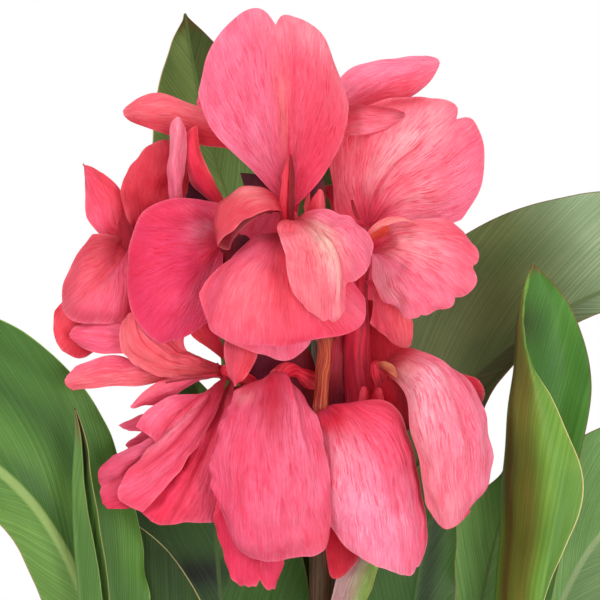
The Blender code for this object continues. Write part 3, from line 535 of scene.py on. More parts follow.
petals = [
    dict(name="standard", flower="top_front", seat=1.0, body=(lilac, (242, 84, 112)), base=deepRose, vein=0.8,
        ruffle=(0.35, 26, 5), crumple=(0.45, 30), cuts=[(0.515, 0.085, 0.03)],
        creases=[(0.6, 0.1, 0.58, 0.4, -1.4, 1.4), (0.4, 0.1, 0.33, 0.85, 0.5, 3.0),
         (0.6, 0.3, 0.62, 1.0, -0.7, 3)],
        spots=[(0.6, 0.14, 0.11, 0.14, red, 0.8), (0.52, 0.5, 0.06, 0.3, (244, 104, 104), 0.6),
         (0.9, 0.35, 0.2, 0.3, (234, 42, 82), 0.75), (0.72, 0.95, 0.25, 0.12, (252, 158, 176), 0.6)], ribs=[
        [(-14, -44, 46), (-25, -43, 57), (-37, -42, 71), (-41, -42, 85)],
        [(-11, -47, 52), (-22, -50, 72), (-34, -42, 102.5)],
        [(-8, -49, 55), (-13, -54, 82), (-20.5, -44, 116)],
        [(-4, -50, 58), (-3, -55, 84), (-3.5, -44, 114)],
        [(0, -48, 54), (7, -51, 78), (9, -42, 105)],
        [(3, -44, 42), (10, -43, 51), (17.5, -42, 64), (19, -41, 81)],
    ]),
    dict(name="lip", flower="top_front", seat=0.98, body=((244, 104, 134), (246, 116, 134)), base=coral,
        vein=0.8, ruffle=(0.5, 12, 4), crumple=(0.5, 14), ragged=0.0025,
        cuts=[(0.38, 0.13, 0.07), (0.62, 0.03, 0.04)],
        creases=[(0.5, 0.3, 0.5, 1.0, 1.0, 1.3), (0.4, 0.35, 0.42, 1.0, -0.8, 1.6)],
        spots=[(0.46, 0.42, 0.24, 0.28, (255, 196, 188), 0.85), (0.85, 0.8, 0.2, 0.3, (238, 92, 112), 0.5),
         (0.12, 0.5, 0.14, 0.4, lilac, 0.5), (0.92, 0.28, 0.1, 0.12, (236, 70, 92), 0.6),
         (0.52, 0.8, 0.02, 0.3, (248, 150, 150), 0.5)], ribs=[
        [(8, -56, 36), (20, -61, 33), (29.5, -60, 20)],
        [(8, -60, 31), (18, -70, 24), (26, -66, 9.5)],
        [(6, -62, 28), (14, -78, 16), (15.5, -78, 2), (15.5, -72, -8)],
        [(2, -62, 27), (6, -76, 14), (7, -73, -7.5)],
        [(-9, -57, 29.5), (-6, -67, 19), (-4, -74, 6), (-2, -73, 1)],
    ]),
    dict(name="apron", flower="top_front", seat=0.86, body=(rose, deepRose), vein=0.35, ruffle=(0.5, 20, 5),
        crumple=(0.6, 22), hem=(lilac, 0.5), creases=[(0.5, 0.3, 0.6, 0.95, -0.8, 3.0)],
        spots=[(0.35, 0.65, 0.3, 0.3, salmon, 0.7), (0.62, 0.45, 0.16, 0.32, coral, 0.8),
         (0.1, 0.6, 0.1, 0.4, rose, 0.6), (0.85, 0.86, 0.12, 0.2, (252, 110, 140), 0.7)], ribs=[
        [(-16, -49, 25.5), (-28, -54, 16.5), (-37, -53, 2)],
        [(-16, -56, 20), (-29, -64, 6), (-35, -58, -13)],
        [(-12, -58, 17), (-18, -68, 0), (-20, -60, -17.5)],
        [(-6, -59, 16), (-4, -68, 0), (-3, -60, -17.5)],
        [(0, -57, 16), (12, -65, 1), (22.5, -59, -11)],
        [(8, -52, 18), (20, -58, 9), (26.8, -57, -1)],
    ]),
    dict(name="under_apron", flower="top_front", seat=0.74, body=((248, 84, 116), (250, 108, 144)), vein=0.4,
        ruffle=(0.5, 12, 4), crumple=(0.5, 14), creases=[(0.55, 0.5, 0.62, 1.0, -0.6, 1.2)], ribs=[
        [(-18, -43, 20), (-33, -47, 12.5), (-41, -48, 1)],
        [(-16, -46, 12), (-30, -51, -2), (-33, -50, -14)],
        [(-10, -48, 6), (-16, -53, -10), (-15, -50, -21.5)],
        [(-6, -48, 6), (-6, -53, -10), (-5, -50, -24)],
        [(-2, -45, 6), (2, -50, -8), (5, -49, -18.5)],
    ]),
    dict(name="left_drop", flower="top_front", seat=0.6, body=(rose, coral), vein=0.3, ruffle=(0.4, 10, 3),
        corner=(0, 0), spots=[(0.2, 0.8, 0.3, 0.3, (210, 44, 64), 0.75)], ribs=[
        [(-14, -35, 3), (-29, -40, -12), (-30, -42, -22), (-27, -42, -33)],
        [(-11, -37, 3), (-22, -43, -14), (-26, -43, -34.5)],
        [(-8, -35, 3), (-16, -41, -14), (-17, -42, -22), (-24, -42, -33)],
    ]),
    dict(name="left_curl", flower="top_front", seat=0.97, body=((168, 20, 40), (224, 64, 82)), vein=0.35,
        ruffle=(0.4, 10, 3), hem=(salmon, 0.6),
        # the pale spot at (0.6, 0.45) is a painted highlight on the curl's top
        spots=[(0.6, 0.45, 0.25, 0.14, (248, 136, 142), 0.85), (0.05, 0.5, 0.25, 0.6, darkRed, 0.9)], ribs=[
        [(-12, -46, 35), (-21, -48, 30), (-29, -52, 19)],
        [(-12, -46, 42), (-23, -49, 43), (-31, -52, 36), (-32, -55, 21)],
        [(-12, -51, 43), (-23, -57, 43), (-31, -60, 36), (-32, -60, 22)],
        [(-10, -57, 36), (-20, -64, 33), (-29, -66, 26)],
    ]),
    dict(name="left_wing", flower="top_front", seat=0.88, body=((242, 104, 118), red), ruffle=(0.4, 16, 4),
        crumple=(0.6, 20), spots=[(0.7, 0.4, 0.6, 0.24, red, 0.95), (0.4, 0.92, 0.5, 0.25, salmon, 0.8)],
        ribs=[
        [(-6, -33, 48), (-22, -27, 70), (-42, -23, 77), (-58, -25, 83), (-69, -27, 78)],
        [(-9, -35, 46), (-24, -31, 64), (-46, -26, 73.5), (-71, -28, 75.5)],
        [(-12, -33, 45), (-25, -29, 59), (-42, -24, 62.5), (-57, -26, 67.5), (-69.5, -28, 72)],
    ]),
    dict(name="right_fan", flower="right", seat=1.0, body=((248, 94, 118), (244, 104, 136)), base=deepRose,
        vein=0.9, ruffle=(0.5, 18, 5), crumple=(0.6, 18), cuts=[(0.545, 0.095, 0.022), (0.4, 0.015, 0.03)],
        creases=[(0.5, 0.1, 0.53, 0.8, -1.2, 1.8), (0.62, 0.2, 0.68, 0.95, -0.7, 2.2)],
        # the pale spots at (0.12, 0.3) and (0.38, 0.25) are painted light, lifting the shade the standard
        # casts on the fan's lower left
        spots=[(0.45, 0.55, 0.14, 0.4, (252, 160, 172), 0.85), (0.75, 0.45, 0.18, 0.3, (252, 140, 156), 0.8),
         (0.3, 0.95, 0.1, 0.05, red, 0.7), (0.9, 0.85, 0.2, 0.3, lilac, 0.6),
         (0.12, 0.3, 0.12, 0.2, (255, 124, 150), 0.6), (0.38, 0.25, 0.14, 0.1, (255, 140, 160), 0.5)], ribs=[
        [(15, -20, 33), (13.2, -23, 47), (5, -24, 70)],
        [(20, -25, 44), (19, -28, 62), (24, -25, 77)],
        [(26, -28, 50), (30, -31, 64), (40, -23, 81.5)],
        [(32, -29, 51), (42, -32, 64), (56, -21.5, 81)],
        [(36, -29, 48), (51, -30, 60), (68, -21, 74)],
        [(39, -27, 41), (57, -27, 48), (74, -20, 61)],
        [(38, -25, 35), (56, -23, 38), (73, -20, 47)],
        [(34, -26, 27), (50, -23, 28), (66, -19, 33)],
    ]),
    dict(name="right_lip", flower="right", seat=0.9, body=((244, 92, 120), (246, 112, 142)), base=deepRose,
        vein=0.75, ruffle=(0.8, 12, 4), crumple=(0.6, 14), ragged=0.0015,
        cuts=[(0.29, 0.05, 0.02), (0.5, 0.04, 0.02), (0.72, 0.03, 0.02)],
        # the pale spots at (0.86, 0.7) and (0.44, 0.26) are painted light, lifting shade that falls on this
        # petal
        spots=[(0.3, 0.5, 0.2, 0.25, (252, 162, 174), 0.7), (0.05, 0.5, 0.1, 0.5, salmon, 0.8),
         (0.86, 0.7, 0.14, 0.25, (255, 150, 168), 0.7), (0.44, 0.26, 0.16, 0.14, (255, 150, 156), 0.7)],
        ribs=[
        [(31, -30, 27), (45, -34, 31.5), (62, -34, 32.5)],
        [(41, -34, 26), (56, -40, 25), (71, -36, 19)],
        [(41, -37, 20), (54, -43, 15), (69, -38, 4)],
        [(38, -37, 16), (46, -43, 8), (57, -40, -4)],
        [(33, -35, 15), (38, -40, 5), (44, -38, -7)],
        [(29, -31, 17), (29, -35, 9), (34, -35, -1)],
    ]),
    # its body colours are lightened as painted light, lifting the shade it lies in
    dict(name="right_curl", flower="right", seat=0.78, body=((250, 84, 112), (250, 96, 112)), base=deepRose,
        ruffle=(0.5, 8, 3), crumple=(0.4, 10), ribs=[
        [(29, -24, 2), (27.5, -26, -10)],
        [(35, -27, 2), (36, -30, -8), (38, -26, -17)],
        [(40, -24, 2), (45, -26, -8), (44, -24, -20)],
    ]),
    dict(name="left_broad", flower="upper_left", seat=1.0, body=((230, 48, 92), (232, 52, 98)), base=deepRose,
        vein=0.85, ruffle=(0.4, 18, 5), crumple=(0.5, 20), cuts=[(0.76, 0.04, 0.015)],
        # the pale spot at (0.24, 0.3) is painted light, lifting the shade the left curl casts here
        spots=[(0.32, 0.9, 0.3, 0.2, (222, 36, 76), 0.6), (0.85, 0.4, 0.2, 0.4, lilac, 0.5),
         (0.24, 0.3, 0.14, 0.18, (255, 140, 172), 0.8), (0.08, 0.72, 0.12, 0.2, (252, 96, 130), 0.7),
         (0.5, 0.2, 0.2, 0.12, (250, 84, 112), 0.6)], ribs=[
        [(-31, -32, 31), (-33, -34, 39.5)],
        [(-38, -36, 33), (-50, -39, 40.5)],
        [(-42, -39, 28), (-54, -43, 30), (-64.5, -40, 33)],
        [(-44, -41, 20), (-57, -46, 18), (-69, -40, 14)],
        [(-43, -41, 12), (-56, -46, 3), (-66.5, -40, -6)],
        [(-40, -39, 8), (-48, -44, -6), (-56, -40, -17.6)],
        [(-36, -36, 9), (-40, -40, -4), (-44, -38, -14)],
        [(-31, -33, 13), (-31, -37, 3), (-34, -38, -7)],
    ]),
    dict(name="left_upright", flower="upper_left", seat=0.84, body=(lilac, lilac), base=deepRose, vein=0.35,
        ruffle=(0.3, 12, 3),
        spots=[(0.5, 0.95, 0.5, 0.4, (246, 126, 150), 0.9), (0.5, 0.2, 0.5, 0.3, (240, 64, 100), 0.7)], ribs=[
        [(-50, -29, 34), (-52.4, -32, 48), (-52.6, -33, 60), (-51.5, -34, 69)],
        [(-48, -31, 34), (-49.5, -37, 49), (-49.5, -38, 62), (-48.5, -36, 73.2)],
        [(-46, -29, 34), (-46.4, -32, 48), (-45.2, -33, 60), (-45.6, -34, 68)],
    ]),
    dict(name="left_strap", flower="upper_left", seat=0.7, body=((240, 52, 86), (234, 46, 66)), vein=0.4,
        ruffle=(0.3, 10, 3), corner=(0, 0), spots=[(0.05, 0.5, 0.12, 0.6, darkRed, 0.6)], ribs=[
        [(-35, -22, 39), (-43.2, -27, 46), (-45.6, -31, 58), (-46, -31, 66.5)],
        [(-32, -24, 40), (-39, -30, 50), (-42.5, -33, 61), (-43.5, -31, 69)],
        [(-30.5, -22, 39), (-34.6, -28, 48), (-39, -31, 58), (-41, -30, 70)],
    ]),
    dict(name="far_left_round", flower="far_left", seat=0.98, body=(coral, (196, 34, 52)),
        ruffle=(0.4, 12, 4), crumple=(0.5, 13), spots=[(0.5, 0.5, 0.5, 0.35, red, 0.7)], ribs=[
        [(-68, -18, 31), (-71.5, -19, 40), (-70.5, -19, 50)],
        [(-65, -20, 34), (-66, -22, 47), (-63.5, -20, 59.5)],
        [(-58, -21, 33), (-55, -23, 49), (-54, -21, 64.6)],
        [(-52, -18, 29), (-45.5, -20, 42), (-45, -19, 60)],
    ]),
    dict(name="far_left_point", flower="far_left", seat=1.0, body=(rose, coral), base=coral, vein=0.4,
        ruffle=(0.4, 12, 3), crumple=(0.5, 12), corner=(0, 0),
        spots=[(0.4, 0.7, 0.5, 0.25, (234, 70, 96), 0.6)], ribs=[
        [(-78, -13, 25), (-85, -14, 32), (-86, -14, 44), (-86, -12, 52)],
        [(-73, -15, 29), (-78, -17, 41), (-87.5, -12, 55)],
        [(-67, -12, 30), (-69.5, -14, 40), (-79, -13, 51)],
    ]),
    dict(name="far_left_broad", flower="far_left", seat=1.0, body=((232, 78, 98), rose), base=coral,
        vein=0.55, crumple=(0.6, 14),
        creases=[(0.2, 0.2, 0.1, 1.0, 0.8, 1.8), (0.45, 0.2, 0.5, 0.9, -0.8, 2.0)],
        spots=[(0.1, 0.6, 0.2, 0.5, (208, 52, 70), 0.7), (0.93, 0.8, 0.09, 0.22, red, 0.95),
         (0.5, 0.6, 0.25, 0.2, salmon, 0.4), (0.5, 0.95, 0.3, 0.12, (206, 64, 84), 0.7)], ribs=[
        [(-76, -18, 26), (-84, -20, 26.5)],
        [(-80, -22, 20), (-91.5, -22, 14.5)],
        [(-80, -25, 12), (-96, -24, 1)],
        [(-77, -26, 8), (-84, -30, 0), (-91, -27, -8.4)],
        [(-72, -26, 10), (-73, -30, 0), (-77, -28, -9.8)],
        [(-67, -23, 13), (-64, -27, 4), (-63, -26, -8.5)],
    ]),
    dict(name="far_left_rear", flower="far_left", seat=0.86, body=(coral, red), vein=0.4, ruffle=(0.5, 10, 4),
        crumple=(0.5, 12), ribs=[
        [(-84, -14, 8), (-95, -16, 0), (-99.5, -18, -6)],
        [(-82, -16, 2), (-92, -20, -8), (-97.5, -19, -17)],
        [(-78, -16, 0), (-85, -20, -12), (-89, -19, -23.5)],
        [(-73, -14, 2), (-75, -18, -8), (-79, -18, -18)],
    ]),
    dict(name="star_upper", flower="lower_left", seat=0.95, body=(rose, rose), base=coral,
        ruffle=(0.4, 12, 3), crumple=(0.4, 14), corner=(0, 0), creases=[(0.5, 0.3, 0.5, 1.0, -0.6, 1.2)],
        ribs=[
        [(-50, -22, -18), (-66, -24, -7.6), (-80, -25, -7), (-89, -24, -10.5)],
        [(-50, -25, -22), (-68, -28, -16), (-92.5, -25, -14)],
        [(-50, -23, -25), (-68, -26, -21), (-80, -26, -21.5), (-89, -24, -18.5)],
    ]),
    # its body colours are lightened as painted light, lifting the shade it lies in
    dict(name="star_curled", flower="lower_left", seat=1.0, body=((246, 100, 112), (246, 88, 108)),
        base=coral, vein=0.6, ruffle=(0.6, 9, 3), crumple=(0.5, 12), corner=(0, 0),
        creases=[(0.4, 0.3, 0.45, 1.0, -0.8, 1.2), (0.75, 0.2, 0.7, 1.0, 0.7, 1.2)],
        spots=[(0.6, 0.9, 0.3, 0.15, blush, 0.35), (0.15, 0.8, 0.2, 0.2, (226, 84, 100), 0.6)], ribs=[
        [(-42, -26, -30), (-58, -32, -29.5), (-71, -35, -20), (-71.5, -34, -8)],
        [(-42, -28, -27), (-56, -36, -24), (-65, -38, -16), (-67, -35, -5)],
        [(-41, -27, -25), (-52, -34, -20), (-59, -36, -14), (-61, -34, -10)],
        [(-40, -25, -23), (-46, -29, -20), (-46, -30, -14)],
    ]),
    dict(name="star_long", flower="lower_left", seat=0.865, body=(rose, salmon), base=coral,
        ruffle=(0.4, 12, 3), crumple=(0.4, 14), corner=(0, 0), creases=[(0.5, 0.3, 0.5, 1.0, -0.5, 1.2)],
        spots=[(0.5, 0.9, 0.5, 0.2, salmon, 0.6)], ribs=[
        [(-45, -20, -28), (-62, -22, -25.5), (-78, -24, -22.5), (-90, -23, -27)],
        [(-45, -22, -29), (-65, -27, -28), (-94, -24, -32.5)],
        [(-45, -20, -30.5), (-62, -24, -34), (-80, -25, -35), (-91, -23, -36)],
    ]),
    dict(name="star_lower", flower="lower_left", seat=0.79, body=((246, 96, 122), rose), base=coral, vein=0.4,
        ruffle=(0.4, 10, 3), corner=(0, 0), ribs=[
        [(-40, -22, -29.4), (-53, -29, -31.4), (-62, -30, -36), (-67, -28, -43)],
        [(-39, -24, -30.6), (-52, -31, -35.4), (-66.8, -29, -43)],
        [(-38, -22, -31.8), (-47, -28, -36.2), (-57, -28, -42.4)],
    ]),
    dict(name="skirt_left_upper", flower="lower_left", seat=0.98, body=((238, 72, 106), (240, 74, 108)),
        vein=0.6, ruffle=(0.6, 14, 4), crumple=(0.5, 16), corner=(0, 0),
        creases=[(0.25, 0.15, 0.2, 0.95, -1.0, 1.7), (0.42, 0.2, 0.42, 0.9, 1.1, 2.8),
         (0.62, 0.15, 0.62, 1.0, -1.0, 1.8), (0.8, 0.2, 0.82, 0.9, 1.0, 2.0)],
        spots=[(0.42, 0.7, 0.1, 0.4, blush, 0.5), (0.05, 0.75, 0.12, 0.3, lilac, 0.7),
         (0.78, 0.75, 0.08, 0.3, lilac, 0.5)], ribs=[
        [(-38, -29, -37), (-50, -34, -38.4), (-60, -35, -43), (-65.6, -35, -50.6)],
        [(-40, -32, -38), (-50, -38, -46), (-57.6, -35, -57.4)],
        [(-40, -33, -41), (-52, -38, -53), (-63, -37, -62.4)],
        [(-39, -34, -44), (-54, -41, -60), (-69.6, -37, -70)],
        [(-37, -34, -46), (-52, -40, -66), (-72.4, -37, -79.4)],
        [(-34, -33, -46), (-48, -42, -68), (-63, -38, -85)],
    ]),
    dict(name="skirt_left_lower", flower="lower_left", seat=0.9, body=(deepRose, rose), vein=0.55,
        ruffle=(0.6, 13, 4), crumple=(0.7, 15), corner=(0, 0.04),
        creases=[(0.4, 0.15, 0.34, 1.05, -1.2, 1.8), (0.2, 0.2, 0.15, 0.95, 0.8, 2.0),
         (0.75, 0.2, 0.8, 1.0, 0.8, 2.4)], spots=[(0.72, 0.9, 0.2, 0.2, (216, 48, 78), 0.7)], ribs=[
        [(-35, -28, -44), (-48, -36, -66), (-64, -36, -84.5)],
        [(-33, -30, -46), (-44, -39, -68), (-56.6, -37, -89.8)],
        [(-31, -31, -46), (-38, -39, -68), (-46, -37, -89)],
        [(-29, -31, -46), (-32, -38, -68), (-34, -36, -88.5)],
        [(-27, -29, -44), (-27, -35, -64), (-27, -34, -82)],
    ]),
    dict(name="skirt_left_rear", flower="lower_left", seat=0.74, body=((214, 62, 96), (222, 58, 88)),
        vein=0.4, ruffle=(0.4, 9, 3), crumple=(0.5, 12), ragged=0.0025, corner=(0, 0),
        cuts=[(0.33, 0.1, 0.1)], ribs=[
        [(-46, -22, -40), (-60, -25, -44.5), (-72.8, -25, -50.4)],
        [(-44, -23, -43), (-57, -28, -50), (-68.5, -26, -54.6)],
        [(-42, -22, -45), (-55, -27, -55), (-70, -25, -58.4)],
        [(-38, -21, -46), (-50, -25, -60), (-63, -24, -63)],
    ]),
    dict(name="skirt_middle", flower="lower_middle", seat=1.0, body=((242, 84, 122), (246, 98, 132)),
        base=deepRose, vein=0.8, ruffle=(0.5, 18, 5), crumple=(0.6, 20), frill=(0.8, 0.2),
        cuts=[(0.04, 0.03, 0.02), (0.97, 0.03, 0.02)],
        creases=[(0.7, 0.05, 0.8, 0.62, 1.5, 1.4), (0.3, 0.2, 0.25, 0.9, -0.7, 2.5),
         (0.55, 0.3, 0.55, 1.0, 0.5, 3)],
        # the pale spot at (0.18, 0.26) is a painted sheen highlight
        spots=[(0.7, 0.5, 0.2, 0.35, lilac, 0.5), (0.18, 0.26, 0.16, 0.05, (250, 160, 172), 0.95),
         (0.52, 0.18, 0.22, 0.17, (158, 8, 26), 0.9), (0.53, 0.36, 0.11, 0.15, (206, 26, 54), 0.8),
         (0.2, 0.6, 0.25, 0.3, rose, 0.6), (0.8, 0.95, 0.3, 0.1, coral, 0.4)], ribs=[
        [(-26, -41, -37.6), (-29.5, -48, -46.5), (-33.8, -51, -60), (-35, -52, -70), (-31, -52, -85)],
        [(-19, -47, -35), (-26, -59, -50), (-27.5, -62, -76), (-25, -54, -98.5)],
        [(-14, -49, -31.5), (-17, -64, -50), (-17, -66, -82), (-15, -54, -104.5)],
        [(-9, -50, -29.5), (-8, -65, -48), (-5, -66, -82), (-3, -54, -103.6)],
        [(-4, -48, -33), (1, -61, -50), (5, -62, -80), (9, -54, -100)],
        [(0, -43, -36), (7, -53, -48), (10.8, -56, -66), (12, -54, -93)],
    ]),
    dict(name="skirt_under", flower="lower_middle", seat=0.84, body=((236, 48, 88), (238, 58, 96)), vein=0.4,
        ruffle=(0.8, 11, 4), crumple=(0.7, 13), ragged=0.0025, frill=(1.4, 1.6), cuts=[(0.62, 0.05, 0.04)],
        ribs=[
        [(-20, -36, -50), (-30, -41, -72), (-35, -42, -92.5)],
        [(-17, -38, -54), (-26, -45, -80), (-27, -44, -111)],
        [(-14, -39, -56), (-20, -47, -84), (-20, -44, -115)],
        [(-11, -39, -56), (-14, -46, -84), (-11, -44, -116)],
        [(-8, -36, -54), (-8, -43, -80), (-6.5, -42, -112)],
    ]),
    dict(name="skirt_right", flower="hanging", seat=0.98, body=((250, 110, 142), (246, 76, 112)),
        base=deepRose, vein=0.85, ruffle=(0.4, 18, 5), crumple=(0.6, 20), hem=(blush, 0.6),
        cuts=[(0.8, 0.02, 0.02)], creases=[(0.55, 0.3, 0.7, 1.0, -0.6, 2.2), (0.9, 0.4, 0.93, 1.0, 0.9, 1.6)],
        # the pale spot at (0.22, 0.5) is a painted sheen highlight
        spots=[(0.22, 0.5, 0.22, 0.2, (250, 150, 172), 0.55), (0.5, 0.8, 0.4, 0.26, (250, 144, 178), 0.8),
         (0.3, 0.2, 0.45, 0.12, (246, 14, 44), 0.85), (0.97, 0.55, 0.07, 0.5, red, 0.7)], ribs=[
        [(6, -42, -49), (6.2, -48.5, -62), (7.4, -51, -76), (10.2, -49.5, -89)],
        [(13, -46, -48), (17, -56, -60), (20, -58, -80), (22, -51, -100.5)],
        [(17, -50, -44), (27, -60, -60), (32, -60, -82), (35, -51, -107.5)],
        [(20, -48, -42.3), (34, -57, -54), (42, -56, -78), (45, -49, -109.6)],
        [(20, -42, -41), (36, -47, -41), (44, -49, -54), (47.6, -49, -73), (51.2, -48, -98)],
    ]),
    dict(name="skirt_tail", flower="hanging", seat=0.84, body=((232, 34, 62), red), base=darkRed, vein=0.3,
        ruffle=(0.4, 9, 3), crumple=(0.5, 12), ragged=0.0025, ribs=[
        [(8, -25, -62), (9, -27, -84), (12, -26, -112)],
        [(11, -26, -62), (15, -29, -84), (17, -27, -111)],
        [(14, -25, -60), (20, -28, -82), (24.5, -27, -103)],
    ]),
    dict(name="skirt_far_right", flower="lower_right", seat=0.98, body=((250, 124, 146), (250, 124, 154)),
        base=(226, 44, 62), vein=0.85, ruffle=(0.4, 18, 5), crumple=(0.6, 18), hem=(coral, 0.3),
        cuts=[(0.55, -0.03, 0.12)],
        creases=[(0.25, 0.1, 0.3, 0.9, 0.7, 2.4), (0.7, 0.2, 0.6, 0.9, -0.6, 2.6)],
        # the cream spot at (0.2, 0.24) and the pale spots at (0.2, 0.42) and (0.5, 0.36) are painted sheen
        # highlights
        spots=[(0.65, 0.16, 0.5, 0.09, (226, 44, 62), 0.85), (0.2, 0.24, 0.22, 0.08, cream, 0.8),
         (0.2, 0.42, 0.2, 0.25, (252, 168, 186), 0.8), (0.5, 0.36, 0.2, 0.13, (255, 172, 192), 0.7),
         (0.9, 0.5, 0.14, 0.2, (244, 80, 110), 0.5)], ribs=[
        [(36, -34, -31), (41, -46, -36), (43, -54, -50), (48, -58, -68), (50, -56, -83)],
        [(38, -38, -27), (47, -56, -36), (51, -64, -56), (54, -64, -74), (57, -56, -91)],
        [(40, -38, -23), (53, -55, -30), (60, -63, -50), (63, -62, -68), (64, -54, -88)],
        [(40, -34, -21), (56, -49, -25), (67, -56, -42), (71, -57, -58), (71.5, -52, -79)],
        [(40, -28, -20), (56, -40, -23.5), (69, -46, -34), (75, -49, -50), (78, -49, -66)],
    ]),
    dict(name="right_edge", flower="lower_right", seat=0.84, body=(red, darkRed), vein=0.3,
        ruffle=(0.4, 9, 3), ragged=0.0025, ribs=[
        [(46, -20, -22), (60, -24, -28), (72, -26, -31.5)],
        [(46, -22, -27), (60, -27, -36), (74, -27, -38)],
        [(44, -20, -32), (56, -25, -42), (71, -26, -44)],
    ]),
    dict(name="crest_right", flower="top_back", seat=0.92, body=((252, 126, 158), (250, 114, 146)), vein=0.4,
        ruffle=(0.4, 16, 4), crumple=(0.5, 18), spots=[(0.85, 0.5, 0.25, 0.5, coral, 0.7)], ribs=[
        [(10, 6, 80), (20, 0, 93), (40, -4, 97.8), (53, -6, 98.8)],
        [(14, 3, 76), (30, -6, 87), (56.3, -8, 95.5)],
        [(16, 5, 70), (28, -1, 77), (40, -4, 79.5), (53, -6, 89)],
    ]),
    dict(name="crest_left", flower="top_back", seat=0.92, body=(rose, deepRose), crumple=(0.6, 16),
        ragged=0.0025, ribs=[
        [(-10, 12, 78), (-22, 14, 88), (-34, 14, 92)],
        [(-12, 8, 72), (-26, 8, 78), (-42, 12, 80)],
        [(-10, 12, 64), (-24, 14, 66), (-38, 14, 66)],
    ]),
    dict(name="crest_rear", flower="top_back", seat=1.0, body=(rose, coral), crumple=(0.6, 16), ragged=0.0025,
        ribs=[
        [(-6, 24, 70), (-14, 34, 70), (-20, 40, 56)],
        [(2, 24, 78), (-2, 38, 84), (-6, 46, 62)],
        [(9, 24, 78), (14, 38, 84), (16, 46, 62)],
        [(14, 22, 70), (26, 32, 70), (32, 38, 54)],
    ]),
    dict(name="rear_left_drop", flower="top_back", seat=0.6, body=(rose, deepRose), crumple=(0.6, 16),
        ragged=0.0025, ribs=[
        [(-10, 24, 46), (-26, 32, 30), (-30, 34, 4)],
        [(-4, 28, 42), (-14, 40, 22), (-18, 40, -8)],
        [(0, 26, 40), (-2, 36, 20), (-4, 36, -2)],
    ]),
    dict(name="rear_right_drop", flower="top_back", seat=0.5, body=(deepRose, rose), crumple=(0.6, 16),
        ragged=0.0025, ribs=[
        [(12, 26, 40), (12, 36, 20), (12, 36, -4)],
        [(15, 28, 42), (26, 40, 22), (28, 40, -10)],
        [(20, 24, 46), (38, 32, 30), (42, 34, 4)],
    ]),
]


def washed(tint, colour, weight):  # a layer of colour over the tint
    weight = np.clip(weight, 0, 1)[..., None]
    return tint * (1 - weight) + linearOf(colour) * weight


def spotted(tint, s, t, spots):
    for at, up, wide, high, colour, amount in spots:
        distance = ((s[None, :] - at) / wide) ** 2 + ((t[:, None] - up) / high) ** 2
        tint = washed(tint, colour, amount * np.exp(-distance))
    return tint


def opaque(tint):
    return np.concatenate([tint, np.ones(tint.shape[:2] + (1,))], -1)


def sheetThickness(sheet, margin):
    return sheet["rim"] + (sheet["middle"] - sheet["rim"]) * smoothStep(0, sheet["taper"], margin)


def petalReach(petal, s, seed):  # how far each place along the margin reaches: ragged, round and cut
    rags = unevenness(s[:, None] * petalSheet["usual"], petalSheet["ragSize"], seed)
    reach = 1 - petal["ragged"] * (1.5 + rags)
    for near, corner in zip((s, 1 - s), petal["corner"]):
        reach = reach - corner * (1 - np.sqrt(1 - np.clip(1 - near / petalSheet["cornerShare"], 0, 1) ** 2))
    for at, depth, width in petal["cuts"]:
        reach = reach - depth * np.exp(-np.abs((s - at) / width) ** petalSheet["cutPower"])
    return reach


def creased(petal, s, t, width, lift):  # the creases added to the lift, and how deep their valleys are
    valley = np.zeros(lift.shape)
    for s0, t0, s1, t1, high, wide in petal["creases"]:
        run = np.clip((t[:, None] - t0) / (t1 - t0), 0, 1)
        away = (s[None, :] - (s0 + (s1 - s0) * run)) * width
        inside = smoothStep(0, 0.15, run) * smoothStep(1.0001, 0.8, run)
        fold = high * inside * bell(away, wide)
        lift = lift + fold
        valley = np.maximum(valley, -fold)
    return lift, valley


def frilled(petal, s, t, grid, opened, seed):  # both side margins pushed in and out
    sideways = unit(grid[:, -1:] - grid[:, :1])
    heights = t[:, None] * petalSheet["usual"]
    coarse, fine = petalSheet["frillSizes"]
    wavy = unevenness(heights, coarse, seed + seedOf["frill"])
    wavy = wavy + 0.25 * unevenness(heights, fine, seed + seedOf["fineFrill"])
    for near, amount, way in zip((s, 1 - s), petal["frill"], (-1, 1)):
        push = way * amount * (wavy[:, None] * opened) * np.exp(-near / petalSheet["frillFade"])[None, :]
        grid = grid + sideways * push[..., None]
    return grid


def petalShape(petal, seed):
    ribs = [[headPlace + p for p in rib] for rib in petal["ribs"]]
    if "flower" in petal:
        path = flowerPath(flowerTubes[petal["flower"]])
        ribs = seatedRibs(
            path, seatRadius, petal["seat"], petal["ribs"], joint["petalGap"], joint["petalSpread"])
    t, s = (np.linspace(0, 1, cells + 1) for cells in petal["cells"])
    opened = smoothStep(*petalSheet["opens"], t)[:, None]
    grid = frilled(petal, s, t, sheetGrid(ribs, s, t, petalReach(petal, s, seed)), opened, seed)
    across, along = stepsAlong(grid, 1), stepsAlong(grid, 0)
    width, length = across[:, -1:], along[-1:, :]
    margin = np.minimum(np.minimum(across, width - across), length - along)
    normal = normalsOf(grid)
    if normal[len(t) // 2, :, 1].mean() > 0:  # a rise is towards the front
        normal = -normal
    amount, size, depth = petal["ruffle"]
    lift = amount * np.exp(-margin / depth) * unevenness(grid, size, seed + seedOf["ruffle"]) * opened
    amount, size = petal["crumple"]
    lift = lift + amount * unevenness(grid, size, seed + seedOf["crumple"]) * opened
    lift, valley = creased(petal, s, t, width, lift)
    grid = grid + normal * lift[..., None]
    sides = (s[None, :] - 0.5) * np.median(width[(len(t) - 1) // 3:])
    heights = t[:, None] * length.mean()
    place = np.stack(np.broadcast_arrays(sides / 10, heights / 10, seed * petalSheet["apart"]), -1)
    return grid, s, t, margin, place, valley


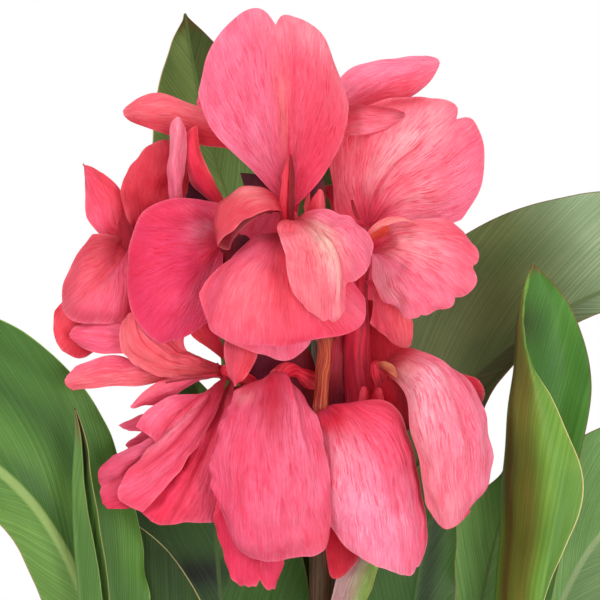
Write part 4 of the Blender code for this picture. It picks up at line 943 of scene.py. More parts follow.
def petalTint(petal, s, t, margin, valley):
    left, right = (linearOf(c) for c in petal["body"])
    share = smoothStep(0.15, 0.85, s)[None, :, None]
    tint = left * (1 - share) + right * share + np.zeros((len(t), 1, 1))
    tint = spotted(tint, s, t, petal["spots"])
    tint = washed(tint, petal["base"], petalSheet["baseWash"] * (1 - smoothStep(0.04, 0.40, t))[:, None])
    # painted shade: the base colour washed into the crease valleys, deeper where a fold sinks
    tint = washed(tint, petal["base"], petalSheet["valleyShadeWash"] * valley)
    colour, amount = petal["hem"]
    hem = amount * np.exp(-margin / petalSheet["hemWidth"]) * smoothStep(0.2, 0.5, t)[:, None]
    return opaque(washed(tint, colour, hem))


def petalParts(petal, seed):
    grid, s, t, margin, place, valley = petalShape(petal, seed)
    vein = petal["vein"] * (smoothStep(0.02, 0.2, t) * (1 - 0.6 * smoothStep(0.6, 1, t)))[:, None]
    return grid, sheetThickness(petalSheet, margin), [
        ("place", "FLOAT_VECTOR", place),
        ("tint", "FLOAT_COLOR", petalTint(petal, s, t, margin, valley)),
        ("vein", "FLOAT", vein * (0.35 + 0.65 * smoothStep(0, petalSheet["veinFade"], margin))),
    ]


petalPaint = petalSkin()
for seed, petal in enumerate(petals):
    sheet = petalParts({**bigPetal, **petal}, seed)
    piece = sheetPiece("petal_" + petal["name"] + "_skin", [sheet], petalPaint)
    standFor(piece, "petal", "petal_" + petal["name"])
print("canna:", len(petals), "petals ready")

# small folds, bracts and inner petals between the big ones, joined into one piece
smallPetal = dict(
    bigPetal, vein=0.2, ruffle=(0.2, 8, 2), crumple=(0.3, 9), corner=(0.3, 0.3), ragged=0.002,
    hem=(coral, 0.1), cells=(26, 22), seed=60,
)
innerPetals = [
    dict(name="fan_flap", body=((246, 96, 120), (248, 108, 132)), base=coral, vein=0.5,
        spots=[(0.1, 0.5, 0.25, 0.6, red, 0.7)], ribs=[
        [(14, -26, 77), (26, -31, 78), (37, -30, 76.5), (43, -27, 74.5)],
        [(14, -27, 73), (27, -33.5, 73.5), (38, -32, 73.5), (43.5, -27, 73.7)],
        [(14, -27, 67), (26, -32, 66), (36, -31, 68.5), (43, -27, 72.8)],
    ]),
    dict(name="column", body=(coral, red), corner=(0, 0), ribs=[
        [(-8, -46, 31), (-8, -50.5, 40), (-6.6, -52, 50), (-4.5, -53, 57)],
        [(-6, -49, 31), (-6, -53, 40), (-5, -54, 50), (-4, -53.5, 57.5)],
        [(-4, -48, 31), (-4, -51.5, 40), (-4, -53, 50), (-3.7, -53.4, 57)],
    ]),
    # a dark strip that paints the shade in the slit beside the column
    dict(name="column_slit_shade", body=((150, 8, 26), (120, 4, 20)), base=darkRed, corner=(0, 0), ribs=[
        [(-4.4, -50.5, 31), (-4.6, -53.8, 40), (-4.2, -54.4, 50), (-3.9, -54.6, 58)],
        [(-3.4, -50.7, 31), (-3.4, -54, 40), (-3.2, -54.6, 50), (-3.6, -54.7, 58)],
        [(-2.2, -50.5, 31), (-2.2, -53.8, 40), (-2.2, -54.4, 50), (-3.4, -54.6, 57)],
    ]),
    dict(name="column_side", body=(coral, salmon), vein=0.3, ribs=[
        [(3.5, -38, 33), (4.5, -42, 40), (7, -42.5, 44)],
        [(7, -40, 32), (8, -44, 38), (8.2, -43, 44)],
        [(10, -38, 32), (10, -41, 37), (9.4, -41, 42)],
    ]),
    dict(name="filament", body=((240, 120, 124), (246, 138, 140)), base=coral, vein=0.5, corner=(0, 0),
        cells=(26, 6), ribs=[
        [(25, -34, 22), (29, -36.5, 29.6), (34, -37.5, 32.8), (40, -38, 33.2), (46, -38, 31.3)],
        [(26, -34, 21), (30.5, -36.5, 27.2), (35, -37.5, 29.8), (40, -38, 31.2), (46, -38, 30.7)],
    ]),
    dict(name="anther", body=((214, 56, 34), (190, 34, 30)), corner=(0.1, 0.1), cells=(18, 8), ribs=[
        [(27, -37.5, 24.5), (31, -38.5, 28), (35.5, -39, 30.2)],
        [(28, -37.5, 22.5), (32, -39, 24.6), (35.5, -39.5, 26)],
    ]),
    # a dark strip that paints the shade in the fan petal's slit
    dict(name="fan_slit_shade", body=((150, 8, 26), (150, 8, 26)), base=(150, 8, 26), vein=0, corner=(0, 0),
        cells=(16, 6), ribs=[
        [(20.4, -34, 40), (20.9, -35.5, 36), (22.9, -36.5, 31.8)],
        [(20.8, -34.1, 40), (21.7, -35.6, 36), (23.7, -36.6, 31.8)],
        [(21.2, -34, 40), (22.5, -35.5, 36), (24.5, -36.5, 31.8)],
    ]),
    dict(name="style", body=((170, 36, 52), (128, 20, 34)), corner=(0, 0), cells=(20, 4), ribs=[
        [(-33, -32, -29.4), (-44, -35, -30.8), (-53.8, -35, -32.6)],
        [(-33, -32, -30.4), (-44, -35, -31.8), (-53.8, -35, -33.4)],
    ]),
    dict(name="skirt_left_outer", body=((232, 84, 118), (224, 44, 80)), vein=0.6, ruffle=(0.5, 8, 3),
        crumple=(0.5, 10), ragged=0.004, corner=(0.02, 0), cells=(60, 48),
        creases=[(0.45, 0.3, 0.5, 1.0, -0.8, 1.6)], ribs=[
        [(-44, -29, -46), (-56, -32, -53), (-64, -33, -57), (-75.6, -32, -62.4)],
        [(-44, -29.5, -48), (-58, -33, -58), (-70, -35, -64), (-80.8, -32, -68.4)],
        [(-44, -29.5, -50), (-58, -32.5, -62), (-70, -33, -70), (-80, -31, -76)],
        [(-43, -29, -52), (-56, -32, -66), (-66, -34, -76), (-78, -32, -82.6)],
        [(-42, -29, -54), (-53, -31, -68), (-60, -33, -78), (-69, -33, -83.6)],
    ]),
    dict(name="star_top", body=(coral, deepRose), vein=0.3, ribs=[
        [(-31, -19, -24), (-36, -22, -19.8), (-45, -26, -14.4)],
        [(-30, -20, -20), (-34, -23, -12), (-40, -27, -3)],
    ]),
    dict(name="inner_right", body=((232, 40, 62), (238, 52, 74)), vein=0.3, ribs=[
        [(17, -6, -2), (16, -5, -22), (18, -6, -46)],
        [(27, -5, 0), (28, -6, -22), (29, -8, -46)],
        [(38, -8, -2), (42, -8, -22), (42, -12, -44)],
    ]),
    dict(name="inner_low_right", body=(red, (176, 22, 44)), base=darkRed, vein=0.3, ribs=[
        [(28, -24, -46), (31, -29, -38), (33, -31, -31)],
        [(36, -26, -52), (38, -32, -42), (38, -33, -31)],
        [(44, -26, -52), (44, -31, -44), (42, -32, -34)],
    ]),
    dict(name="knob_left", body=(coral, red), base=darkRed, vein=0.1, ribs=[
        [(23, -28, -46), (23.4, -32, -40), (24.4, -33.4, -35.6)],
        [(25.5, -29, -46), (25.6, -34, -40), (25.6, -34, -34.6)],
        [(28, -28, -46), (27.6, -32, -40), (26.8, -33.4, -35.6)],
    ]),
    dict(name="knob_right", body=(red, coral), base=darkRed, vein=0.1, ribs=[
        [(28, -28, -46), (28.4, -32, -40), (29.4, -33.4, -36)],
        [(31, -29, -46), (31, -34, -40), (31.4, -34, -35)],
        [(34, -28, -46), (33.6, -32, -40), (33, -33.4, -36)],
    ]),
    dict(name="cream_lobe", body=((250, 146, 112), (246, 126, 100)), base=(232, 96, 80), vein=0, ribs=[
        [(31, -30, -25), (35.5, -36, -25), (39.4, -41, -28.6)],
        [(32, -31, -27), (35, -37, -28.6), (38.4, -42, -31.8)],
    ]),
    dict(name="bract_middle", body=((120, 18, 50), darkRed), base=plum, vein=0.4, ribs=[
        [(-25, -8, -52), (-24, -10, -34), (-21, -12, -14)],
        [(-8, -9, -54), (-7, -13, -34), (-5, -13, -16)],
        [(6, -8, -54), (7, -11, -34), (5, -12, -18)],
    ]),
    dict(name="bract_right", body=(darkRed, plum), base=plum, vein=0.4,
        spots=[(0.5, 0.85, 0.8, 0.34, (255, 74, 98), 0.95)], ribs=[
        [(8, -7, -54), (9, -8, -34), (12, -7, -12)],
        [(16, -9, -56), (17, -10, -34), (18, -8, -8)],
        [(24, -8, -54), (24, -9, -34), (24, -7, -10)],
    ]),
    dict(name="bract_left_inner", body=(darkRed, plum), base=plum, ribs=[
        [(-36, -26, 4), (-35, -28, 14), (-33, -30, 24)],
        [(-28, -27, 2), (-27, -30, 14), (-26, -32, 26)],
        [(-20, -26, 4), (-19, -28, 14), (-19, -30, 26)],
    ]),
    dict(name="left_gap", body=((196, 40, 62), (150, 16, 36)), ribs=[
        [(-73, -15, 36), (-73, -15.5, 28), (-72, -15, 16)],
        [(-62, -14, 37), (-62, -14.5, 28), (-62, -14, 16)],
    ]),
    dict(name="star_gap", body=((222, 40, 60), (222, 40, 60)), vein=0.1, ribs=[
        [(-35.5, -18, -27), (-33.5, -18, -30), (-31, -18, -33)],
        [(-33, -17, -25), (-31, -17, -28), (-29, -17, -31)],
    ]),
    dict(name="bract_upper_left", body=(plum, plum), base=plum, ribs=[
        [(-47, -16, 30), (-46, -19, 40), (-45, -20, 50)],
        [(-40, -18, 30), (-39, -21, 38), (-38, -22, 46)],
        [(-33, -18, 30), (-31, -20, 36), (-29, -21, 40)],
    ]),
    dict(name="bract_crown", body=(plum, darkRed), base=plum, ribs=[
        [(-24, -24, 51), (-22, -26, 44), (-20, -27, 36)],
        [(-17, -26, 50), (-16, -28, 43), (-15, -29, 35)],
        [(-10, -28, 46), (-10, -30, 40), (-10, -31, 34)],
    ]),
    dict(name="bract_crown_right", body=(plum, darkRed), base=plum, ribs=[
        [(3, -26, 46), (4, -28, 42), (4, -30, 32)],
        [(6.5, -22, 50), (7, -25, 42), (7, -27, 32)],
        [(9.5, -18, 49), (10, -20, 42), (10, -22, 32)],
    ]),
    dict(name="sheath_bract", body=((216, 150, 156), (150, 164, 84)), base=(150, 132, 88), corner=(0, 0),
        cells=(60, 26), ribs=[
        [(5, -14, -200), (10.5, -16, -150), (12.6, -17, -120), (16.6, -17, -108), (24, -16, -103)],
        [(13, -17, -200), (18, -19, -150), (21, -20, -121), (24, -19, -110), (28, -16, -102)],
        [(21, -12, -200), (25, -14, -150), (27, -16, -121), (30, -16, -112), (33, -15, -103)],
    ]),
]

parts = [
    petalParts({**smallPetal, **inner}, smallPetal["seed"] + i) for i, inner in enumerate(innerPetals)
]
standFor(sheetPiece("petal_inner_folds", parts, petalPaint), "petal")
print("canna:", len(innerPetals), "inner folds and bracts ready")

# a leaf's ribs run from the stem to the tip, the midrib between the two margins
leafSheet = dict(
    middle=0.6, rim=0.22, taper=4, cells=(210, 44), opens=(0.10, 0.35), wideEnough=16, ruffle=(22, 5),
    pleat=(0.12, 9), groove=0.7, ridge=1.1, shade=0.80, apart=5.3,
)
anyLeaf = dict(
    midrib=0.5, ribWidth=1.6, lean=(1.0, 2.0), wave=(1.0, 55), ruffle=0.9, veins=0.75, bands=[], spots=[],
    far=[], base=((146, 128, 88), 0.30, 0.02, 0.7), tip=((112, 78, 40), 0.98, 1.0, 1.0),
)
leaves = [
    dict(name="rear_left", stem="flower_stalk", seat=0.33, half=((122, 150, 80), (76, 94, 38)),
        rib=(104, 132, 64), rim=((206, 176, 130), (130, 80, 56)), lean=(1.0, 2.2), wave=(1.4, 60),
        spots=[(0.66, 0.86, 0.3, 0.05, (124, 166, 92), 0.9)], ribs=[
        [(-14, 24, -310), (-24, 40, -200), (-28, 48, -100), (-30, 52, -40), (-38, 55, 0), (-56, 57, 36),
         (-60.5, 57, 66), (-47.6, 52, 114.6)],
        [(2, 36, -310), (-2, 56, -200), (-4, 65, -100), (-8, 67, -40), (-16, 67, 0), (-38, 63, 70),
         (-47, 52, 117)],
        [(18, 26, -310), (18, 46, -200), (16, 55, -100), (17, 60, -10), (16, 60, 36), (13, 60, 58),
         (-3, 60, 78), (-20, 57, 92), (-46, 52, 115.6)],
    ]),
    dict(name="right_arch", stem="flower_stalk", seat=0.48, half=((120, 136, 82), (92, 100, 56)),
        rib=(104, 122, 70), rim=((110, 84, 50), (140, 96, 66)), ribWidth=2.0, lean=(1.0, 2.4), veins=0.9,
        # far is a pale grey-green wash painted as sheen towards the tip
        far=[((170, 194, 156), 0.71, 0.8, 0.85)], ribs=[
        [(14, 20, -240), (20, 34, -140), (32, 45, -40), (56, 44, 18), (82, 40, 34.5), (120, 32, 44),
         (172, 22, 44), (210, 16, 30)],
        [(22, 16, -240), (38, 34, -140), (54, 48, -50), (88, 46, -16), (120, 40, 2), (168, 26, 18),
         (211, 16, 28.5)],
        [(28, 6, -240), (48, 22, -150), (64, 38, -70), (87, 44, -26.5), (118, 42, -7), (162, 30, 6),
         (210, 17, 27)],
    ]),
    dict(name="right_rolled", stem="right_shoot", seat=0.95, half=((84, 140, 54), (120, 162, 62)),
        rib=(104, 140, 60), rim=((120, 80, 36), (224, 196, 140)), ribWidth=0.5, lean=(0.1, 1.0),
        wave=(0.4, 45), ruffle=0.4, veins=0.4,
        bands=[(0.585, 0.04, (104, 58, 28), 0.85), (0.67, 0.05, (140, 122, 50), 0.75),
         (0.86, 0.08, (86, 140, 52), 0.4)],
        spots=[(0.48, 0.91, 0.14, 0.035, (58, 60, 26), 0.85), (0.71, 0.83, 0.1, 0.06, (122, 112, 46), 0.8)],
        ribs=[
        [(84, 10, -230), (98, 18, -140), (112, 16, -70), (117.5, 10, -28), (108, 6, -1), (94.6, 1.5, 14)],
        [(80, 12, -230), (86, 18, -140), (97, 17, -70), (104, 13, -28), (100, 6, 0), (94.3, 1, 14.4)],
        [(77, 4, -230), (78, 2, -140), (82, 0, -70), (86, 0, -28), (90, 0, -2), (93.8, 0, 14.8)],
        [(81, -9, -230), (90, -24, -140), (98, -28, -84), (93, -20, -36), (89.5, -8, -6), (93.4, -0.6, 13.6)],
        [(86, -9, -230), (98, -26, -119), (113.5, -27, -72), (104, -22, -46), (91.5, -13, -20),
         (92.8, -1.4, 10)],
    ]),
    # its halves are given a brighter colour as painted light, making up for the shade it lies in
    dict(name="right_low", stem="right_shoot", seat=0.7, half=((154, 200, 124), (168, 202, 142)),
        rib=(196, 216, 160), rim=((140, 100, 66), (196, 160, 120)), ribWidth=2.2, lean=(1.0, 1.8), veins=0.6,
        ribs=[
        [(56, 22, -320), (72, 36, -210), (92, 36, -120), (108, 31, -60), (142, 20, -46), (196, 8, -50),
         (232, 0, -60)],
        [(66, 24, -320), (86, 38, -220), (103, 38, -130), (122, 29, -96), (160, 15, -72), (200, 6, -62),
         (233, 0, -61.6)],
        [(76, 16, -320), (102, 26, -230), (128, 24, -170), (156, 15, -130), (188, 6, -96), (214, 2, -76),
         (232.6, 0, -63)],
    ]),
    # its halves are given a brighter colour as painted light, making up for the shade it lies in
    dict(name="right_inner", stem="right_shoot", seat=0.82, half=((138, 188, 100), (142, 190, 108)),
        rib=(120, 150, 84), rim=((170, 110, 84), (140, 90, 66)), lean=(1.0, 2.2), wave=(0.5, 45), veins=0.6,
        ribs=[
        [(54, 4, -270), (52, 12, -190), (54, 18, -118), (59, 20, -98), (69, 22, -83), (84, 24, -66),
         (92, 26, -48)],
        [(64, 12, -270), (68, 20, -190), (73, 25, -125), (79, 26, -98), (85, 27, -77), (92.8, 26.5, -47)],
        [(84, 12, -270), (86, 18, -200), (88, 24, -130), (91, 26, -100), (92.6, 27, -76), (93.8, 27, -48)],
    ]),
    dict(name="middle_right", stem="flower_stalk", seat=0.37, half=((67, 107, 44), (70, 108, 48)),
        rib=(76, 110, 52), rim=((150, 150, 100), (150, 120, 90)), ribWidth=1.2, lean=(1.0, 2.2),
        wave=(0.4, 45), tip=((96, 156, 60), 0.93, 1.0, 1.0), bands=[(0.62, 0.14, (38, 56, 26), 0.8)], ribs=[
        [(12, -16, -320), (14, -22, -240), (20, -20, -150), (30, -14, -100), (42, -10, -74), (56, -8, -58)],
        [(24, -8, -320), (32, -8, -240), (42, -6, -150), (48, -4, -110), (53, -5, -82), (57, -7, -57)],
        [(24, 4, -320), (42, 5, -240), (56, 4, -160), (62, 3, -120), (63, 0, -86), (58, -6, -58)],
    ]),
    dict(name="left_broad", stem="left_shoot", seat=0.95, half=((80, 126, 48), (112, 154, 72)),
        rib=(158, 184, 104), rim=((150, 176, 90), (176, 130, 100)), ribWidth=2.8, lean=(1.0, 1.9),
        wave=(1.4, 55), veins=0.65,
        bands=[(0.22, 0.06, (48, 86, 32), 0.6), (0.38, 0.08, (104, 148, 66), 0.5),
         (0.1, 0.03, (60, 100, 38), 0.4)],
        # the pale spot at (0.1, 0.44) is painted light, lifting the shade on this part of the blade
        spots=[(0.1, 0.44, 0.16, 0.07, (120, 176, 76), 0.8), (0.42, 0.55, 0.06, 0.2, (60, 96, 44), 0.4)],
        ribs=[
        [(-61, -7, -220), (-62, -3, -150), (-66, -4, -86), (-83, -8, -41), (-120, -8, -8), (-172, -12, 0),
         (-232, -16, -35)],
        [(-74, -9, -220), (-79, -14, -150), (-89, -18, -113), (-106, -20, -83), (-142, -22, -54),
         (-188, -20, -38), (-233.5, -16, -37)],
        [(-82, 2, -220), (-94, -8, -160), (-104, -14, -120), (-120, -17, -91), (-150, -20, -72),
         (-192, -19, -54), (-233, -17, -39)],
    ]),
    dict(name="left_rolled", stem="left_shoot", seat=0.84, half=((92, 132, 58), (92, 132, 58)),
        rib=(96, 132, 60), rim=((120, 140, 80), (168, 160, 110)), midrib=0.33, ribWidth=0.9, lean=(0.15, 1.0),
        wave=(0.3, 45), ruffle=0.15, veins=0.4, tip=((122, 60, 40), 0.93, 1.0, 1.0),
        # the dark spot at (0.8, 0.93) paints the shade in the roll's open slit
        spots=[(0.8, 0.93, 0.16, 0.06, (44, 34, 24), 0.9)], ribs=[
        [(-70, -18, -250), (-76, -34, -170), (-80, -38, -110), (-86, -34, -74), (-88, -30, -52),
         (-90, -28, -44)],
        [(-76, -16, -250), (-84, -30, -170), (-88, -34, -110), (-90, -31, -74), (-89.6, -29, -52),
         (-90.4, -27, -43)],
        [(-72, -12, -250), (-80, -24, -170), (-83, -28, -110), (-87, -28, -74), (-88, -27.6, -52),
         (-90, -26.2, -43.4)],
        [(-66, -14, -250), (-73, -28, -170), (-77, -34, -110), (-83, -32, -74), (-86.6, -29.5, -52),
         (-89.4, -27, -44.4)],
    ]),
    dict(name="low_left", stem="flower_stalk", seat=0.28, half=((38, 62, 24), (56, 84, 34)),
        rib=(104, 128, 66), rim=((110, 90, 60), (190, 180, 120)), wave=(0.8, 55), ribs=[
        [(-18, 10, -380), (-40, 10, -280), (-66, 11, -190), (-86, 9, -130), (-84, 6, -84)],
        [(-18, -6, -380), (-26, -6, -280), (-44, 0, -190), (-62, 3, -130), (-83, 6, -83)],
        [(-4, -14, -380), (-8, -16, -280), (-18, -10, -190), (-38, -2, -124), (-56, 1, -98), (-82, 6, -83)],
    ]),
    dict(name="low_rear", stem="flower_stalk", seat=0.41, half=((65, 107, 44), (90, 141, 60)),
        rib=(92, 120, 60), rim=((120, 90, 60), (130, 100, 70)), wave=(0.8, 55),
        # the near-black spot is a painted shadow, cast by the flower head on this leaf
        spots=[(0.4, 0.733, 0.22, 0.024, (10, 14, 8), 0.95)], ribs=[
        [(-10, 12, -300), (-36, 20, -230), (-62, 25, -160), (-72, 24, -100), (-62, 24, -60), (-45, 25, -31)],
        [(-2, 18, -300), (-16, 28, -230), (-28, 35, -160), (-34, 35, -100), (-36, 30, -60), (-44, 25, -30)],
        [(10, 16, -300), (9, 25, -230), (6, 30, -160), (2, 30, -110), (-14, 28, -66), (-43, 25, -31)],
    ]),
]


def leafTint(leaf, s, t, side):
    tint = np.where(side, linearOf(leaf["half"][1]), linearOf(leaf["half"][0]))
    for at, wide, colour, amount in leaf["bands"]:
        tint = washed(tint, colour, (amount * bell(s - at, wide))[None, :])
    tint = spotted(tint, s, t, leaf["spots"])
    # the far wash on right_arch is painted sheen
    for colour, start, stop, amount in (*leaf["far"], leaf["base"], leaf["tip"]):
        tint = washed(tint, colour, amount * smoothStep(start, stop, t)[:, None])
    return tint


def leafShape(leaf, seed):
    stem = stems[leaf["stem"]]
    ribs = seatedRibs(
        stemPath(stem), stemRadius(stem), leaf["seat"], leaf["ribs"], joint["leafGap"], joint["leafSpread"])
    rows, columns = leafSheet["cells"]
    t, s = np.linspace(0, 1, rows + 1), np.linspace(0, 1, columns + 1)
    grid = sheetGrid(ribs, s, t, np.ones(columns + 1))
    across, along = stepsAlong(grid, 1), stepsAlong(grid, 0)
    width = across[:, -1:]
    fromRib = across - np.array([[np.interp(leaf["midrib"], s, row)] for row in across])
    edge = np.minimum(across, width - across)
    axis = along[:, [round(leaf["midrib"] * columns)]]
    phase = leaf["lean"][0] * axis - leaf["lean"][1] * np.abs(fromRib)  # the same along a side vein
    opened, slim = smoothStep(*leafSheet["opens"], t)[:, None], smoothStep(0, leafSheet["wideEnough"], width)
    amount, size = leaf["wave"]
    lift = amount * unevenness(grid, size, seed + seedOf["wave"]) * opened * slim
    size, depth = leafSheet["ruffle"]
    ruffles = leaf["ruffle"] * unevenness(grid, size, seed + seedOf["leafRuffle"])
    lift = lift + ruffles * np.exp(-edge / depth) * opened * slim
    amount, size = leafSheet["pleat"]
    pleats = unevenness(phase[..., None] * np.ones(2), size, seed + seedOf["pleat"])
    lift = lift + amount * pleats * smoothStep(1.5, 5, np.abs(fromRib)) * slim
    ribWidth = leaf["ribWidth"] * (1.2 - 0.75 * t[:, None])  # slimmer towards the tip
    onRib = bell(fromRib, ribWidth)
    lift = lift - leafSheet["groove"] * onRib * slim
    grid = grid + normalsOf(grid) * lift[..., None]
    ridge = leafSheet["ridge"] * onRib * smoothStep(1, 0.7, t)[:, None] * slim
    side, shade = (fromRib > 0)[..., None], leafSheet["shade"]
    rim = np.where(side, linearOf(leaf["rim"][1]), linearOf(leaf["rim"][0]))
    place = np.stack(np.broadcast_arrays(fromRib / 10, axis / 10, leafSheet["apart"] * seed), -1)
    return grid, sheetThickness(leafSheet, edge) + ridge, [
        ("place", "FLOAT_VECTOR", place),
        ("tint", "FLOAT_COLOR", opaque(leafTint(leaf, s, t, side) * shade)),
        ("ribTint", "FLOAT_COLOR", opaque(np.broadcast_to(linearOf(leaf["rib"]) * shade, grid.shape))),
        ("rimTint", "FLOAT_COLOR", opaque(rim)),
        ("phase", "FLOAT", phase),
        ("veins", "FLOAT", np.full(edge.shape, leaf["veins"])),
        ("ribSide", "FLOAT", np.abs(fromRib) * 1.5 / ribWidth),
        ("edgeSide", "FLOAT", edge),
    ]


leafPaint = leafBlade()
for seed, leaf in enumerate(leaves):
    sheet = leafShape({**anyLeaf, **leaf}, seed)
    piece = sheetPiece("leaf_" + leaf["name"] + "_skin", [sheet], leafPaint)
    standFor(piece, "leaf", "leaf_" + leaf["name"])
print("canna:", len(leaves), "leaves ready")

pot = dict(
    height=210.0, topRadius=122.0, baseRadius=88.0, wall=3.0, rimHeight=28.0, rimStep=4.0, segments=192,
    colour=(58, 60, 62), dish=1.5, dishEdge=12.0, footEdge=10.0, footHeight=12.0,
)


def potRadius(height):  # outside, without the rim
    return pot["baseRadius"] + (pot["topRadius"] - pot["baseRadius"]) * height / pot["height"]


def rounded(corners, steps=7):  # (radius, height, rounding) corners to a smooth outline
    outline = []
    points = np.array([c[:2] for c in corners], float)
    for i, (point, corner) in enumerate(zip(points, corners)):
        if corner[2] == 0:
            outline.append(point)
            continue
        before = point + unit(points[i - 1] - point) * corner[2]
        after = point + unit(points[i + 1] - point) * corner[2]
        for u in np.linspace(0, 1, steps):
            outline.append((1 - u) ** 2 * before + 2 * u * (1 - u) * point + u * u * after)
    return np.array(outline)


def ringFaces(rings, count):  # a closed skin from pole 0 over the rings to pole 1
    faces, last = [], rings - 1
    for j in range(count):
        k = (j + 1) % count
        faces.append((0, 2 + k, 2 + j))
        faces.append((1, 2 + last * count + j, 2 + last * count + k))
        for i in range(last):
            a, b = 2 + i * count, 2 + (i + 1) * count
            faces.append((a + j, a + k, b + k, b + j))
    return faces


def potPlastic():
    p = Painter("potPlastic", specular=0.4)
    place = p.objectPlace()
    grain = p.noise(place, (900, 900, 900))
    scuff = p.noise(place, (26, 26, 60), 4, 0.65)
    base = linearOf(pot["colour"])
    colour = p.mix(p.remap(scuff, 0.45, 0.72, 0.0, 0.35), base, base * 1.7 + 0.012)
    return p.finish(colour, p.bump(grain, 0.00012, 0.5), p.remap(scuff, 0.3, 0.7, 0.44, 0.6))


def potWall():  # from the axis below, round the wall, to the axis inside
    base, wall, high, step = pot["baseRadius"], pot["wall"], pot["height"], pot["rimStep"]
    neck = high - pot["rimHeight"]
    outline = rounded([
        (0, pot["dish"], 0), (base - pot["dishEdge"], pot["dish"], 0),
        (base - pot["footEdge"], 0, 0.4), (base - 0.2, 0, 1.6),
        (potRadius(pot["footHeight"]), pot["footHeight"], 3),
        (potRadius(neck) - 0.5, neck, 0.8), (potRadius(neck) + step, neck, 1.2),
        (potRadius(high) + step, high, 1.5), (potRadius(high) + 1 - wall, high, 1.2),
        (potRadius(0) - wall, wall, 4), (0, wall, 0),
    ])
    count = pot["segments"]
    angle = np.linspace(0, 2 * np.pi, count, endpoint=False)
    inner = outline[1:-1]
    rings = np.stack([
        inner[:, :1] * np.cos(angle), inner[:, :1] * np.sin(angle), np.repeat(inner[:, 1:], count, 1)], -1)
    vertices = [(0, 0, outline[0, 1]), (0, 0, outline[-1, 1]), *rings.reshape(-1, 3)]
    return addPiece("pot_wall", vertices, ringFaces(len(inner), count), potPlastic(), sharp=40.0)


standFor(potWall(), "pot", "pot")

soil = dict(
    height=186.0, settled=0.5, heave=2.2, waves=((0.6, 34), (0.5, 13), (0.25, 5)), sink=1.5,
    gap=0.4, lowGap=0.7, sideSteps=(0.04, 0.3, 0.65, 1.0), rings=46, segments=120,
    colour=(46, 32, 24), brown=(74, 54, 40), pale=(104, 84, 64),
)
crumb = dict(
    count=6000, small=0.9, large=3.4, narrow=(0.7, 0.45, 0.35), wide=(1.3, 0.9, 0.7),
    turn=(6.28, 6.28, 6.28), dent=2.2, dentScale=620.0, upward=0.5, seed=7,
)


def soilEarth():
    p = Painter("soilEarth", specular=0.2)
    place = p.objectPlace()
    coarse = p.noise(place, (160, 160, 160), 5, 0.65)
    fine = p.noise(place, (700, 700, 700), 3, 0.6)
    colour = p.mix(p.remap(coarse, 0.35, 0.70), linearOf(soil["colour"]), linearOf(soil["brown"]))
    colour = p.mix(p.remap(fine, 0.60, 0.74, 0.0, 0.7), colour, linearOf(soil["pale"]))
    return p.finish(colour, p.bump(fine, 0.0006, 0.7, p.bump(coarse, 0.0020, 0.9)), 0.93)


def soilBed(material):
    foot, count = pot["wall"] + soil["gap"], soil["segments"]
    edge = potRadius(soil["height"]) - pot["wall"] - soil["gap"]
    radii = np.linspace(0, edge, soil["rings"])[1:]
    angle = np.linspace(0, 2 * np.pi, count, endpoint=False)
    sideways, deep = radii[:, None] * np.cos(angle), radii[:, None] * np.sin(angle)
    top = np.stack(np.broadcast_arrays(sideways, deep, 0.0), -1)
    rise = sum(share * unevenness(top, size, seed) for seed, (share, size) in enumerate(soil["waves"], 1))
    fall = soil["sink"] * smoothStep(0.0, 1.0, radii / edge)[:, None]
    top[..., 2] = soil["height"] - soil["settled"] + soil["heave"] * rise - fall
    low = potRadius(foot) - pot["wall"] - soil["lowGap"]
    side = [
        (edge + (low - edge) * u, soil["height"] + (foot - soil["height"]) * u) for u in soil["sideSteps"]
    ]
    under = np.array([[(r * math.cos(a), r * math.sin(a), z) for a in angle] for r, z in side])
    rings = np.concatenate([top, under])
    vertices = [(0, 0, top[0, :, 2].mean()), (0, 0, foot), *rings.reshape(-1, 3)]
    faces = [(first, *rest[::-1]) for first, *rest in ringFaces(len(rings), count)]
    return addPiece("soil_bed", vertices, faces, material, sharp=60)


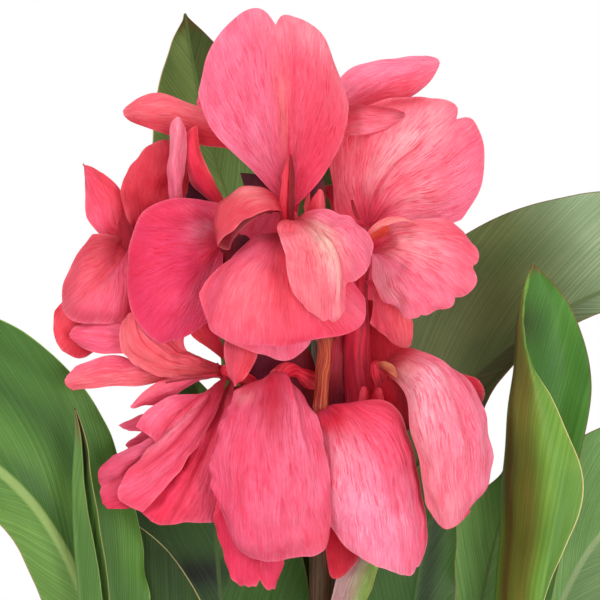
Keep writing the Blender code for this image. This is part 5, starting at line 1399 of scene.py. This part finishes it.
def crumbTree(material):
    tree = bpy.data.node_groups.new("soilCrumbs", "GeometryNodeTree")
    face, names = tree.interface, {}
    face.new_socket("Geometry", in_out="INPUT", socket_type="NodeSocketGeometry")
    for label, kind in (("Density", "Float"), ("Small", "Float"), ("Large", "Float"), ("Seed", "Int")):
        socket = face.new_socket(label, in_out="INPUT", socket_type="NodeSocket" + kind)
        names[label] = socket.identifier
    face.new_socket("Geometry", in_out="OUTPUT", socket_type="NodeSocketGeometry")

    def add(kind, inputs={}, **settings):
        return addNode(tree, kind, inputs, **settings)

    entry = add("NodeGroupInput").outputs
    normal = add("ShaderNodeSeparateXYZ", {0: add("GeometryNodeInputNormal").outputs[0]})
    upward = add("FunctionNodeCompare", data_type="FLOAT", operation="GREATER_THAN")
    setInputs(tree, upward, {0: normal.outputs["Z"], 1: crumb["upward"]})
    spread = add("GeometryNodeDistributePointsOnFaces", {
        "Mesh": entry["Geometry"], "Selection": upward.outputs[0], "Density": entry["Density"],
        "Seed": entry["Seed"]})
    lump = add("GeometryNodeMeshIcoSphere", {"Radius": 1.0, "Subdivisions": 1})
    turn = add("FunctionNodeRandomValue", data_type="FLOAT_VECTOR")
    setInputs(tree, turn, {1: crumb["turn"], "Seed": 3})
    size = add("FunctionNodeRandomValue", data_type="FLOAT")
    setInputs(tree, size, {2: entry["Small"], 3: entry["Large"], "Seed": 4})
    shape = add("FunctionNodeRandomValue", data_type="FLOAT_VECTOR")
    setInputs(tree, shape, {0: crumb["narrow"], 1: crumb["wide"], "Seed": 5})
    grow = add("ShaderNodeVectorMath", operation="SCALE")
    setInputs(tree, grow, {0: shape.outputs[0], "Scale": size.outputs[1]})
    strewn = add("GeometryNodeInstanceOnPoints", {
        "Points": spread.outputs["Points"], "Instance": lump.outputs["Mesh"], "Rotation": turn.outputs[0],
        "Scale": grow.outputs[0]})
    real = add("GeometryNodeRealizeInstances", {0: strewn.outputs[0]})
    dent = add("ShaderNodeTexNoise", {"Scale": crumb["dentScale"]})
    centred = add("ShaderNodeVectorMath", operation="SUBTRACT")
    setInputs(tree, centred, {0: dent.outputs["Color"], 1: (0.5, 0.5, 0.5)})
    push = add("ShaderNodeVectorMath", operation="SCALE")
    setInputs(tree, push, {0: centred.outputs[0], "Scale": crumb["dent"] * toMetres})
    dented = add("GeometryNodeSetPosition", {"Geometry": real.outputs[0], "Offset": push.outputs[0]})
    paint = add("GeometryNodeSetMaterial", {"Geometry": dented.outputs[0], "Material": material})
    add("NodeGroupOutput", {0: paint.outputs[0]})
    return tree, names


def strewCrumbs(bed, material):
    tree, names = crumbTree(material)
    modifier = bed.modifiers.new("crumbs", "NODES")
    modifier.node_group = tree
    area = math.pi * (potRadius(soil["height"]) * toMetres) ** 2
    modifier[names["Density"]] = crumb["count"] / area
    modifier[names["Small"]] = crumb["small"] * toMetres
    modifier[names["Large"]] = crumb["large"] * toMetres
    modifier[names["Seed"]] = crumb["seed"]
    graph = bpy.context.evaluated_depsgraph_get()
    mesh = bpy.data.meshes.new_from_object(bed.evaluated_get(graph))
    bed.modifiers.remove(modifier)
    mesh.shade_flat()
    print("canna:", len(mesh.polygons), "crumb faces strewn")
    return linked("soil_crumbs", mesh)


earth = soilEarth()
bed = soilBed(earth)
crumbs = strewCrumbs(bed, earth)
standFor(bed, "soil", "soil")
standFor(crumbs, "soil")
print("canna: pot and soil ready")
